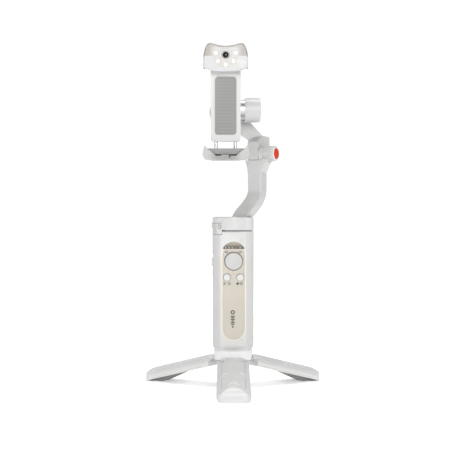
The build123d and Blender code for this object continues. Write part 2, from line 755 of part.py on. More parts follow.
with BuildPart() as fold_latch:
    with BuildSketch(Plane.XY.offset(LATCH_LOW)):
        Circle(HANDLE_R)
    extrude(amount=LATCH_HIGH - LATCH_LOW)
    with BuildSketch(latch_frame.offset(latch_inner)):
        with Locations((0, (LATCH_LOW + LATCH_HIGH) / 2)):
            RectangleRounded(2 * LATCH_HALF, LATCH_HIGH - LATCH_LOW, 0.8)
    extrude(amount=10, mode=Mode.INTERSECT)
    # round dimple for the thumb
    with BuildSketch(latch_frame.offset(HANDLE_R - 0.35)):
        with Locations((6.4, 150.1)):
            Circle(2.4)
            Circle(1.8, mode=Mode.SUBTRACT)
    extrude(amount=3, mode=Mode.SUBTRACT)
fold_latch.part.label = "fold_latch"
export_step(fold_latch.part, "parts/fold_latch.step")

# ---------------------------------------------------------------- lower arm
# Level sections up the arm: middle x, middle y, height, size along the barrel, size across it.
ARM_BEND = (
    (8.9, 2.2, PAN_TOP + GAP, 15.1, 15.4),
    (13.6, 7.6, 166.0, 16.4, 17.2),
    (20.4, 15.0, 175.5, 15.2, 15.2),
    (22.9, 17.7, 182.0, 14.3, 13.6),
)
UPRIGHT = (14.2, 13.4)
ARM_EDGE = 1.2  # corner radius of the arm's section
ARM_SIDE = Plane(origin=(ARM_X, ARM_Y, 0), x_dir=ARM_ALONG, z_dir=-ARM_DEEP)
with BuildPart() as lower_arm:
    for x, y, z, along, across in ARM_BEND:
        with BuildSketch(arm_section(x, y, z)):
            RectangleRounded(along, across, ARM_EDGE)
    with BuildSketch(arm_section(ARM_X, ARM_Y, 186.0)):
        RectangleRounded(*UPRIGHT, ARM_EDGE)
    loft()
    with BuildSketch(arm_section(ARM_X, ARM_Y, 186.0)):
        RectangleRounded(*UPRIGHT, ARM_EDGE)
    extrude(amount=14)
    with BuildSketch(arm_section(ARM_X, ARM_Y, 200.0)):
        RectangleRounded(*UPRIGHT, ARM_EDGE)
    with BuildSketch(arm_section(ARM_X - 0.3, ARM_Y, 206.0)):
        RectangleRounded(15.4, 13.4, ARM_EDGE)
    with BuildSketch(arm_section(ARM_X + 0.3, ARM_Y - 0.3, ARM_TOP)):
        RectangleRounded(20.5, 13.4, ARM_EDGE)
    loft()
    # gusset under the barrel
    with BuildSketch(ARM_SIDE):
        with BuildLine():
            Polyline(
                (2.0, 202.0), (7.0, 202.5), (9.8, 208.7), (13.0, 213.2), (14.5, ARM_FOLD_Z),
                (BARREL_START, ARM_FOLD_Z), (BARREL_START, ARM_TOP), (2.0, ARM_TOP - 2), (2.0, 202.0),
            )
        make_face()
    extrude(amount=6.5, both=True)
    with BuildSketch(barrel_plane(BARREL_START)):
        Circle(BARREL_R)
    extrude(amount=BARREL_END - BARREL_START)
    chamfer(lower_arm.faces().sort_by(Axis(origin=(0, 0, 0), direction=ARM_ALONG))[-1].edges(), 0.8)
    # room for the knuckle
    with BuildSketch(ARM_SIDE):
        with Locations(((BARREL_START - 20) / 2, ARM_TOP + 10)):
            Rectangle(20 + BARREL_START, 20)
    extrude(amount=20, both=True, mode=Mode.SUBTRACT)
    # ribs round the barrel
    for rib in range(6):
        with BuildSketch(barrel_plane(8.6 + 1.5 * rib)):
            Circle(BARREL_R + 1)
            Circle(BARREL_R - 0.35, mode=Mode.SUBTRACT)
        extrude(amount=0.6, mode=Mode.SUBTRACT)
    # bores for the pin and for the release button
    with BuildSketch(barrel_plane(-10)):
        Circle(ARM_PIN_R)
    extrude(amount=20, mode=Mode.SUBTRACT)
    with BuildSketch(barrel_plane(14.5)):
        Circle(5.0)
    extrude(amount=10, mode=Mode.SUBTRACT)
    # recess for the rear cover
    with BuildSketch(ARM_SIDE.offset(-5.4)):
        with Locations((0, 195)):
            RectangleRounded(9.4, 20, 1.5)
    extrude(amount=-5, mode=Mode.SUBTRACT)
lower_arm.part.label = "lower_arm"
export_step(lower_arm.part, "parts/lower_arm.step")

with BuildPart() as lower_arm_cover:
    with BuildSketch(ARM_SIDE.offset(-5.4)):
        with Locations((0, 195)):
            RectangleRounded(9.2, 19.8, 1.4)
    extrude(amount=-1.2)
lower_arm_cover.part.label = "lower_arm_cover"
export_step(lower_arm_cover.part, "parts/lower_arm_cover.step")

with BuildPart() as arm_pin:
    with BuildSketch(barrel_plane(-6.8)):
        Circle(ARM_PIN_R)
    extrude(amount=16.8)
arm_pin.part.label = "arm_pin"
export_step(arm_pin.part, "parts/arm_pin.step")

with BuildPart() as arm_release_button:
    with BuildSketch(barrel_plane(16.2)):
        Circle(5.0 - RUN * 2)
    extrude(amount=4.8)
    button_rims = arm_release_button.edges().filter_by(GeomType.CIRCLE)
    fillet(button_rims.sort_by(Axis(origin=(0, 0, 0), direction=ARM_ALONG))[-1], 1.2)
arm_release_button.part.label = "arm_release_button"
export_step(arm_release_button.part, "parts/arm_release_button.step")

# ---------------------------------------------------------------- upper arm
ROLL_FLOOR = ROLL_BACK - 2.0
ROLL_BASE = Plane(origin=(ROLL_X, ROLL_FLOOR - 0.8, ROLL_Z), x_dir=(1, 0, 0), z_dir=(0, -1, 0))
with BuildPart() as upper_arm:
    # knuckle, square in front and round behind
    with BuildSketch(barrel_plane(-7.1)):
        with BuildLine():
            Line((-6.7, -5.7), (0, -KNUCKLE_R))
            ThreePointArc(
                (0, -KNUCKLE_R),
                (KNUCKLE_R * math.sin(math.radians(45)), -KNUCKLE_R * math.cos(math.radians(45))),
                (KNUCKLE_R, 0),
            )
            Polyline((KNUCKLE_R, 0), (KNUCKLE_R, 14.0), (-4.0, 14.0), (-6.7, 11.0), (-6.7, -5.7))
        make_face()
    extrude(amount=7.1 + BARREL_START - GAP)
    # step backwards over the lower arm
    with BuildSketch(barrel_plane(-5.6)):
        with BuildLine():
            Polyline((-4.0, 8.2), (19.0, 8.2), (19.0, 17.5), (6.0, 17.5), (-4.0, 14.0), (-4.0, 8.2))
        make_face()
    extrude(amount=5.6 + BARREL_START - GAP)
    # bar up to the roll motor
    with BuildSketch(facing_front(36.0)):
        with Locations((27.0, ARM_FOLD_Z + 13.0)):
            Circle(5.0)
        with Locations((ROLL_X, ROLL_Z)):
            Circle(11.0)
        make_hull()
    extrude(amount=7.4)
    with BuildSketch(facing_front(ROLL_BACK)):
        with Locations((ROLL_X, ROLL_Z)):
            Circle(ROLL_R)
    extrude(amount=ROLL_BACK - ROLL_FRONT)
    with BuildSketch(facing_front(ROLL_BACK - 2.0)):
        with Locations((ROLL_X, ROLL_Z)):
            Circle(ROLL_R - 1.8)
    extrude(amount=20, mode=Mode.SUBTRACT)
    with BuildSketch(ROLL_BASE.offset(-0.9)):
        Circle(POST_R)
    extrude(amount=5.9)
    with BuildSketch(ROLL_BASE):
        Circle(POST_BORE)
    extrude(amount=10, mode=Mode.SUBTRACT)
    with BuildSketch(facing_front(ROLL_BACK + 1)):
        with Locations((ROLL_X, ROLL_Z)):
            Circle(ROLL_R - 2.0)
    extrude(amount=1.8, mode=Mode.SUBTRACT)
    with BuildSketch(barrel_plane(-10)):
        Circle(ARM_PIN_R + RUN)
    extrude(amount=20, mode=Mode.SUBTRACT)
upper_arm.part.label = "upper_arm"
export_step(upper_arm.part, "parts/upper_arm.step")

with BuildPart() as roll_cover:
    with BuildSketch(facing_front(ROLL_BACK)):
        with Locations((ROLL_X, ROLL_Z)):
            Circle(ROLL_R - 2.1)
    extrude(amount=0.8)
    with BuildSketch(facing_front(ROLL_BACK)):
        with Locations((ROLL_X, ROLL_Z)):
            Circle(ROLL_R - 3.0)
    extrude(amount=-0.6)
roll_cover.part.label = "roll_cover"
export_step(roll_cover.part, "parts/roll_cover.step")

roll_stator = build_stator(ROLL_BASE, 1.0)
roll_stator.label = "roll_stator"
export_step(roll_stator, "parts/roll_stator.step")
roll_bearings = build_bearings(ROLL_BASE, 1.0)
roll_bearings.label = "roll_bearings"
export_step(roll_bearings, "parts/roll_bearings.step")
roll_rotor = build_rotor(ROLL_BASE, 1.0, ROLL_R - 2.2, 13.2)
roll_rotor.label = "roll_rotor"
export_step(roll_rotor, "parts/roll_rotor.step")

# ---------------------------------------------------------------- roll bracket with the tilt motor
BRACKET_BACK = ROLL_FLOOR - 0.8 - 13.2
BRACKET_FRONT = BRACKET_BACK - 6.0
TILT_BASE = Plane(origin=(TILT_RIGHT - 2.2, TILT_Y, ROLL_Z), x_dir=(0, 1, 0), z_dir=(-1, 0, 0))
TILT_SCALE = 0.8
with BuildPart() as roll_bracket:
    with BuildSketch(facing_front(BRACKET_BACK)):
        with Locations((ROLL_X, ROLL_Z)):
            Circle(11.0)
        with Locations((TILT_RIGHT - 5, ROLL_Z)):
            Rectangle(10, 20)
        make_hull()
    extrude(amount=BRACKET_BACK - BRACKET_FRONT)
    with BuildSketch(SIDE.offset(TILT_LEFT + 1)):
        with Locations((TILT_Y, ROLL_Z)):
            Circle(TILT_R)
        with Locations((TILT_Y + 8, ROLL_Z)):
            Rectangle(16, 20)
    extrude(amount=TILT_RIGHT - TILT_LEFT - 1)
    with BuildSketch(SIDE.offset(TILT_LEFT)):
        with Locations((TILT_Y, ROLL_Z)):
            Circle(TILT_R - 1.2)
    extrude(amount=TILT_RIGHT - 2.2 - TILT_LEFT, mode=Mode.SUBTRACT)
    with BuildSketch(TILT_BASE.offset(-0.2)):
        Circle(POST_R * TILT_SCALE)
    extrude(amount=5.2)
    with BuildSketch(TILT_BASE):
        Circle(POST_BORE * TILT_SCALE)
    extrude(amount=10, mode=Mode.SUBTRACT)
    with BuildSketch(SIDE.offset(TILT_RIGHT - 0.8)):
        with Locations((TILT_Y, ROLL_Z)):
            Circle(TILT_R - 1.6)
    extrude(amount=5, mode=Mode.SUBTRACT)
roll_bracket.part.label = "roll_bracket"
export_step(roll_bracket.part, "parts/roll_bracket.step")

with BuildPart() as tilt_cover:
    with BuildSketch(SIDE.offset(TILT_RIGHT - 0.8)):
        with Locations((TILT_Y, ROLL_Z)):
            Circle(TILT_R - 1.7)
    extrude(amount=1.2)
tilt_cover.part.label = "tilt_cover"
export_step(tilt_cover.part, "parts/tilt_cover.step")

tilt_stator = build_stator(TILT_BASE, TILT_SCALE)
tilt_stator.label = "tilt_stator"
export_step(tilt_stator, "parts/tilt_stator.step")
tilt_bearings = build_bearings(TILT_BASE, TILT_SCALE)
tilt_bearings.label = "tilt_bearings"
export_step(tilt_bearings, "parts/tilt_bearings.step")
tilt_rotor = build_rotor(TILT_BASE, TILT_SCALE, TILT_R - 1.7, TILT_RIGHT - 2.2 - CLAMP_RIGHT)
tilt_rotor.label = "tilt_rotor"
export_step(tilt_rotor, "parts/tilt_rotor.step")

# ---------------------------------------------------------------- clamp
CLAMP_MID = (CLAMP_LEFT + CLAMP_RIGHT) / 2
CLAMP_WIDTH = CLAMP_RIGHT - CLAMP_LEFT
JAW_PAD = 0.8
with BuildPart() as clamp_body:
    with BuildSketch(facing_front(CLAMP_BACK)):
        with Locations((CLAMP_MID, (CLAMP_BOTTOM + SEAT_TOP + 3.8) / 2)):
            RectangleRounded(CLAMP_WIDTH, SEAT_TOP + 3.8 - CLAMP_BOTTOM, 3.0)
    extrude(amount=CLAMP_BACK - CLAMP_FRONT)
    # fixed upper jaw
    with BuildSketch(facing_front(CLAMP_BACK)):
        with Locations((SENSOR_X, (SEAT_TOP + JAW_PAD + SENSOR_BASE - GAP) / 2)):
            Rectangle(36.0, SENSOR_BASE - GAP - SEAT_TOP - JAW_PAD)
    extrude(amount=CLAMP_BACK - LIP_FRONT)
    with BuildSketch(facing_front(PHONE_FRONT - 0.4)):
        with Locations((SENSOR_X, (SENSOR_BASE - GAP + SEAT_TOP - 3.0) / 2)):
            RectangleRounded(30.0, SENSOR_BASE - GAP - SEAT_TOP + 3.0, 1.0)
    extrude(amount=PHONE_FRONT - 0.4 - LIP_FRONT)
    # boss round the tilt axis
    with BuildSketch(SIDE.offset(1.0)):
        with Locations((TILT_Y, ROLL_Z)):
            Circle(TILT_R - 1.0)
    extrude(amount=CLAMP_RIGHT - 1.0)
    with BuildSketch(facing_front(CLAMP_FRONT - 5)):
        with Locations((CLAMP_MID, ROLL_Z)):
            Rectangle(60, 60)
    extrude(amount=5, mode=Mode.SUBTRACT)
    # bores for the guide rods
    with BuildSketch(Plane.XY.offset(CLAMP_BOTTOM - 1)):
        for rod_x in ROD_X:
            with Locations((rod_x, ROD_Y)):
                Circle(ROD_R + RUN)
    extrude(amount=48, mode=Mode.SUBTRACT)
    # shallow recess for the back pad
    with BuildSketch(facing_front(CLAMP_FRONT + 0.6)):
        with Locations((CLAMP_MID, 263)):
            RectangleRounded(20, 54, 3)
    extrude(amount=3, mode=Mode.SUBTRACT)
clamp_body.part.label = "clamp_body"
export_step(clamp_body.part, "parts/clamp_body.step")

with BuildPart() as back_pad:
    with BuildSketch(facing_front(CLAMP_FRONT + 0.6)):
        with Locations((CLAMP_MID, 263)):
            RectangleRounded(20, 54, 3)
    extrude(amount=CLAMP_FRONT + 0.6 - PHONE_BACK)
back_pad.part.label = "back_pad"
export_step(back_pad.part, "parts/back_pad.step")

with BuildPart() as upper_jaw_pad:
    with BuildSketch(facing_front(PHONE_BACK + 0.4)):
        with Locations((SENSOR_X, SEAT_TOP + JAW_PAD / 2)):
            Rectangle(28, JAW_PAD)
    extrude(amount=PHONE_BACK - PHONE_FRONT + 0.8)
upper_jaw_pad.part.label = "upper_jaw_pad"
export_step(upper_jaw_pad.part, "parts/upper_jaw_pad.step")

# ---------------------------------------------------------------- lower jaw
JAW_FLOOR = 215.7
PAD_TOP = SEAT_BOTTOM - 0.2
with BuildPart() as lower_jaw:
    with BuildSketch(facing_front(JAW_BACK)):
        with BuildLine():
            Line((JAW_X, JAW_BOTTOM), (JAW_X + JAW_HALF - 5.0, JAW_BOTTOM))
            JernArc(
                start=(JAW_X + JAW_HALF - 5.0, JAW_BOTTOM), tangent=(1, 0), radius=5.0, arc_size=90
            )
            Polyline(
                (JAW_X + JAW_HALF, JAW_BOTTOM + 5.0),
                (JAW_X + 20.4, 225.0),
                (JAW_X + 19.5, 225.6),
                (JAW_X + 17.0, 221.9),
                (JAW_X + 15.6, 221.3),
                (JAW_X + 9.4, JAW_FLOOR),
                (JAW_X + 4.15, JAW_FLOOR),
                (JAW_X + 4.15, 213.9),
                (JAW_X, 213.9),
            )
            mirror(about=Plane.YZ.offset(JAW_X))
        make_face()
    extrude(amount=JAW_BACK - LIP_FRONT)
    # pocket behind the lip
    with BuildSketch(facing_front(JAW_BACK)):
        with Locations((JAW_X, 214.4 + 10)):
            Rectangle(2 * 18.3, 20)
    extrude(amount=JAW_BACK - PHONE_FRONT + 0.4, mode=Mode.SUBTRACT)
    with BuildSketch(facing_front(JAW_BACK)):
        with Locations((JAW_X, SEAT_BOTTOM + 5)):
            Rectangle(60, 10)
    extrude(amount=JAW_BACK - PHONE_FRONT, mode=Mode.SUBTRACT)
    # foot under the clamp, holding the rods
    with BuildSketch(facing_front(CLAMP_BACK - 0.2)):
        with Locations((CLAMP_MID, JAW_BOTTOM + 2.5)):
            RectangleRounded(CLAMP_WIDTH, 5.0, 1.0)
    extrude(amount=CLAMP_BACK - 0.2 - JAW_BACK + 1.0)
    with BuildSketch(Plane.XY.offset(JAW_BOTTOM + 0.8)):
        for rod_x in ROD_X:
            with Locations((rod_x, ROD_Y)):
                Circle(ROD_R)
    extrude(amount=10, mode=Mode.SUBTRACT)
lower_jaw.part.label = "lower_jaw"
export_step(lower_jaw.part, "parts/lower_jaw.step")

with BuildPart() as lower_jaw_pad:
    with BuildSketch(facing_front(JAW_BACK)):
        with BuildLine():
            Polyline(
                (JAW_X - 18.2, 217.3), (JAW_X + 18.2, 217.3), (JAW_X + 18.2, PAD_TOP + 0.2),
                (JAW_X - 18.2, PAD_TOP + 0.2), (JAW_X - 18.2, 217.3),
            )
        make_face()
    extrude(amount=JAW_BACK - PHONE_FRONT)
    with BuildSketch(facing_front(JAW_BACK - 1.0)):
        with Locations((JAW_X, 215.9)):
            Rectangle(34, 3.0)
    extrude(amount=2.0)
lower_jaw_pad.part.label = "lower_jaw_pad"
export_step(lower_jaw_pad.part, "parts/lower_jaw_pad.step")

with BuildPart() as guide_rods:
    with BuildSketch(Plane.XY.offset(JAW_BOTTOM + 0.8)):
        for rod_x in ROD_X:
            with Locations((rod_x, ROD_Y)):
                Circle(ROD_R)
    extrude(amount=49)
guide_rods.part.label = "guide_rods"
export_step(guide_rods.part, "parts/guide_rods.step")

# ---------------------------------------------------------------- tracking sensor
with BuildPart() as sensor_outer:
    with BuildSketch(facing_front(SENSOR_BACK)):
        with BuildLine():
            Spline(
                (SENSOR_X, SENSOR_BOTTOM),
                (SENSOR_X + 8.0, SENSOR_BOTTOM + 0.25),
                (SENSOR_X + 14.5, SENSOR_BOTTOM + 1.2),
                (SENSOR_X + 20.6, SENSOR_BOTTOM + 3.9),
                tangents=[(1, 0), (1, 0.62)],
            )
            Spline(
                (SENSOR_X + 20.6, SENSOR_BOTTOM + 3.9),
                (SENSOR_X + 20.3, 307.0),
                (SENSOR_X + 19.2, 312.8),
                (SENSOR_X + 17.2, 317.8),
                (SENSOR_X + 14.2, 319.5),
            )
            Spline(
                (SENSOR_X + 14.2, 319.5),
                (SENSOR_X + 8.0, 317.9),
                (SENSOR_X, 316.7),
                tangents=[(-1, 0), (-1, 0)],
            )
            mirror(about=Plane.YZ.offset(SENSOR_X))
        make_face()
    extrude(amount=SENSOR_BACK - SENSOR_FRONT)
    fillet(sensor_outer.faces().sort_by(Axis.Y)[0].edges(), 1.2)
    # the chin hangs in front of the upper jaw
    with BuildSketch(facing_front(SENSOR_BACK)):
        with Locations((SENSOR_X, SENSOR_BASE - 10)):
            Rectangle(60, 20)
    extrude(amount=SENSOR_BACK - LIP_FRONT + GAP, mode=Mode.SUBTRACT)

# five lights in a U-shaped diffuser round the lens
DIFFUSER_IN = 7.9
DIFFUSER_OUT = 11.5
LED_RING = 9.4
LED_R = 1.95
LED_ANGLES = (-190.0, -140.0, -90.0, -40.0, 10.0)
LED_SPOTS = [
    (
        SENSOR_X + LED_RING * math.cos(math.radians(led_angle)),
        SENSOR_LENS_Z + LED_RING * math.sin(math.radians(led_angle)),
    )
    for led_angle in LED_ANGLES
]
LIGHT_FLOOR = SENSOR_FRONT + 0.8

with BuildPart() as light_ring:
    with BuildSketch(facing_front(LIGHT_FLOOR)):
        with Locations((SENSOR_X, SENSOR_LENS_Z)):
            Circle(DIFFUSER_OUT)
            Circle(DIFFUSER_IN, mode=Mode.SUBTRACT)
        with Locations((SENSOR_X, SENSOR_LENS_Z + 4.3 + 10)):
            Rectangle(40, 20, mode=Mode.SUBTRACT)
    extrude(amount=0.7)

with BuildPart() as sensor_leds:
    with BuildSketch(facing_front(LIGHT_FLOOR)):
        with Locations(*LED_SPOTS):
            Circle(LED_R)
    extrude(amount=0.7)
sensor_leds.part.label = "sensor_leds"
export_step(sensor_leds.part, "parts/sensor_leds.step")

with BuildPart() as sensor_diffuser:
    add(light_ring.part)
    add(sensor_leds.part, mode=Mode.SUBTRACT)
sensor_diffuser.part.label = "sensor_diffuser"
export_step(sensor_diffuser.part, "parts/sensor_diffuser.step")

with BuildPart() as sensor_front:
    add(sensor_outer.part)
    split(bisect_by=Plane.XZ.offset(-SENSOR_SEAM), keep=Keep.TOP)
    # lens seat
    with BuildSketch(facing_front(SENSOR_FRONT)):
        with Locations((SENSOR_X, SENSOR_LENS_Z)):
            Circle(5.6)
    extrude(amount=-1.2, mode=Mode.SUBTRACT)
    # pocket of the lights
    with BuildSketch(facing_front(LIGHT_FLOOR)):
        with Locations((SENSOR_X, SENSOR_LENS_Z)):
            Circle(DIFFUSER_OUT)
            Circle(DIFFUSER_IN, mode=Mode.SUBTRACT)
        with Locations((SENSOR_X, SENSOR_LENS_Z + 4.3 + 10)):
            Rectangle(40, 20, mode=Mode.SUBTRACT)
        with Locations(*LED_SPOTS):
            Circle(LED_R)
    extrude(amount=3, mode=Mode.SUBTRACT)
sensor_front.part.label = "sensor_front"
export_step(sensor_front.part, "parts/sensor_front.step")

with BuildPart() as sensor_rear:
    add(sensor_outer.part)
    split(bisect_by=Plane.XZ.offset(-SENSOR_SEAM), keep=Keep.BOTTOM)
sensor_rear.part.label = "sensor_rear"
export_step(sensor_rear.part, "parts/sensor_rear.step")

with BuildPart() as sensor_lens:
    with BuildSketch(facing_front(SENSOR_FRONT + 1.2)):
        with Locations((SENSOR_X, SENSOR_LENS_Z)):
            Circle(5.5)
    extrude(amount=0.5)
    with BuildSketch(facing_front(SENSOR_FRONT + 0.7)):
        with Locations((SENSOR_X, SENSOR_LENS_Z)):
            Circle(2.6)
    extrude(amount=0.3)
sensor_lens.part.label = "sensor_lens"
export_step(sensor_lens.part, "parts/sensor_lens.step")
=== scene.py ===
"""Phone gimbal on a folding tripod: looks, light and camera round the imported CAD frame. Metres."""

import json
import math

import bmesh
import bpy
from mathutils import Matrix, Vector
from mathutils.bvhtree import BVHTree


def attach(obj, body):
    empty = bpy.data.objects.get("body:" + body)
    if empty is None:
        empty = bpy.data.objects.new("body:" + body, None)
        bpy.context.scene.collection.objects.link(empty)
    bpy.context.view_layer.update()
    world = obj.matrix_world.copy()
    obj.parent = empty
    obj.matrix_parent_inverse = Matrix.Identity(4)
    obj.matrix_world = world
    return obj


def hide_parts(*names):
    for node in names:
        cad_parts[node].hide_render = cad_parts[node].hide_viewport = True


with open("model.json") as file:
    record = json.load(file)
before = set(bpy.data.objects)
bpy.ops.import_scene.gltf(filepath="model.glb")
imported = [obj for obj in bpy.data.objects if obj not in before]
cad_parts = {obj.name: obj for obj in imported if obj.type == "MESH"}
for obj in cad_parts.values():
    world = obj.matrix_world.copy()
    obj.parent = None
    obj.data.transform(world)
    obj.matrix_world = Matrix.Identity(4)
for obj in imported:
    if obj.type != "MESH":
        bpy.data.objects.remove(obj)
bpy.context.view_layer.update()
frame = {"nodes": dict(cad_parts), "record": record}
nodes = frame["nodes"]
MM = 0.001

# ---------------------------------------------------------------- camera
# Level view, straight at the front, from a metre away.
EYE = Vector((-7.6, -1000.0, 156.0)) * MM
FOCAL = 85.1
SENSOR_WIDTH = 36.0
camera_data = bpy.data.cameras.new("camera")
camera_data.lens = FOCAL
camera_data.sensor_width = SENSOR_WIDTH
camera_data.shift_y = -0.01
camera_data.clip_end = 20.0
camera = bpy.data.objects.new("camera", camera_data)
camera.location = EYE
camera.rotation_euler = (math.radians(90), 0, 0)
bpy.context.scene.collection.objects.link(camera)
bpy.context.scene.camera = camera

# ---------------------------------------------------------------- light
scene = bpy.context.scene
scene.view_settings.view_transform = "Standard"
scene.view_settings.look = "None"
world = bpy.data.worlds.new("studio")
scene.world = world
world.use_nodes = True
sky_tree = world.node_tree
background = sky_tree.nodes["Background"]
background.inputs["Strength"].default_value = 1.0
# white behind the object, and a pale band all round just above the horizon
direction = sky_tree.nodes.new("ShaderNodeTexCoord")
split_direction = sky_tree.nodes.new("ShaderNodeSeparateXYZ")
backdrop = sky_tree.nodes.new("ShaderNodeMapRange")
backdrop.inputs["From Min"].default_value = 0.70
backdrop.inputs["From Max"].default_value = 0.92
backdrop.inputs["To Min"].default_value = 0.0
backdrop.inputs["To Max"].default_value = 1.03
horizon = sky_tree.nodes.new("ShaderNodeMapRange")
horizon.inputs["From Min"].default_value = 0.0
horizon.inputs["From Max"].default_value = 0.28
horizon.inputs["To Min"].default_value = 0.95
horizon.inputs["To Max"].default_value = 0.34
brighter = sky_tree.nodes.new("ShaderNodeMath")
brighter.operation = "MAXIMUM"
sky_tree.links.new(direction.outputs["Generated"], split_direction.inputs["Vector"])
sky_tree.links.new(split_direction.outputs["Y"], backdrop.inputs["Value"])
sky_tree.links.new(split_direction.outputs["Z"], horizon.inputs["Value"])
sky_tree.links.new(backdrop.outputs["Result"], brighter.inputs[0])
sky_tree.links.new(horizon.outputs["Result"], brighter.inputs[1])
sky_tree.links.new(brighter.outputs["Value"], background.inputs["Color"])


def area_light(name, place, target, size, watts):
    """Soft square light at a place, aimed at a target."""
    data = bpy.data.lights.new(name, "AREA")
    data.shape = "SQUARE"
    data.size = size
    data.energy = watts
    light = bpy.data.objects.new(name, data)
    light.location = place
    light.rotation_euler = (Vector(target) - Vector(place)).to_track_quat("-Z", "Y").to_euler()
    bpy.context.scene.collection.objects.link(light)


AIM = (0, 0, 0.16)
area_light("key", (0.12, -1.4, 0.55), AIM, 0.5, 8.9)
area_light("side", (1.4, -0.1, 0.4), AIM, 0.5, 0.9)
area_light("top", (-0.1, 0.1, 1.6), AIM, 0.8, 15.0)

# ---------------------------------------------------------------- materials
GRAIN_DEPTH = 0.00008
DRIFT_SCALE = 38.0
FINE_GRAIN = 2600.0
RUBBER_GRAIN = 1800.0


def node_of(tree, kind, **settings):
    """New shader node with attributes and input defaults set."""
    node = tree.nodes.new(kind)
    for name, value in settings.items():
        if hasattr(node, name):
            setattr(node, name, value)
        else:
            node.inputs[name].default_value = value
    return node


def plastic(
    name, color, rough, grain_scale=FINE_GRAIN, grain=0.12, drift=0.03, coat=0.0, metallic=0.0
):
    """Moulded surface: fine grain in bump and roughness, slow colour drift, paler worn edges."""
    material = bpy.data.materials.new(name)
    material.use_nodes = True
    tree = material.node_tree
    shader = tree.nodes["Principled BSDF"]
    shader.inputs["Coat Weight"].default_value = coat
    shader.inputs["Coat Roughness"].default_value = 0.12
    shader.inputs["Metallic"].default_value = metallic
    place = node_of(tree, "ShaderNodeTexCoord")
    fine = node_of(tree, "ShaderNodeTexNoise", Scale=grain_scale, Detail=3.0, Roughness=0.6)
    slow = node_of(tree, "ShaderNodeTexNoise", Scale=DRIFT_SCALE, Detail=2.0, Roughness=0.5)
    tree.links.new(place.outputs["Object"], fine.inputs["Vector"])
    tree.links.new(place.outputs["Object"], slow.inputs["Vector"])
    # colour
    ramp = tree.nodes.new("ShaderNodeValToRGB")
    low = [c * (1.0 - drift) for c in color]
    high = [min(1.0, c * (1.0 + drift)) for c in color]
    ramp.color_ramp.elements[0].position = 0.3
    ramp.color_ramp.elements[0].color = (*low, 1.0)
    ramp.color_ramp.elements[1].position = 0.7
    ramp.color_ramp.elements[1].color = (*high, 1.0)
    tree.links.new(slow.outputs["Fac"], ramp.inputs["Fac"])
    geometry = tree.nodes.new("ShaderNodeNewGeometry")
    edge = tree.nodes.new("ShaderNodeMapRange")
    edge.inputs["From Min"].default_value = 0.53
    edge.inputs["From Max"].default_value = 0.62
    edge.inputs["To Min"].default_value = 0.0
    edge.inputs["To Max"].default_value = 0.35
    tree.links.new(geometry.outputs["Pointiness"], edge.inputs["Value"])
    worn = tree.nodes.new("ShaderNodeMixRGB")
    worn.inputs["Color2"].default_value = (*[min(1.0, c * 1.18 + 0.02) for c in color], 1.0)
    tree.links.new(edge.outputs["Result"], worn.inputs["Fac"])
    tree.links.new(ramp.outputs["Color"], worn.inputs["Color1"])
    tree.links.new(worn.outputs["Color"], shader.inputs["Base Color"])
    # roughness
    spread = tree.nodes.new("ShaderNodeMapRange")
    spread.inputs["To Min"].default_value = rough - 0.05
    spread.inputs["To Max"].default_value = rough + 0.05
    tree.links.new(fine.outputs["Fac"], spread.inputs["Value"])
    tree.links.new(spread.outputs["Result"], shader.inputs["Roughness"])
    # bump
    bump = tree.nodes.new("ShaderNodeBump")
    bump.inputs["Strength"].default_value = grain
    bump.inputs["Distance"].default_value = GRAIN_DEPTH
    tree.links.new(fine.outputs["Fac"], bump.inputs["Height"])
    tree.links.new(bump.outputs["Normal"], shader.inputs["Normal"])
    return material


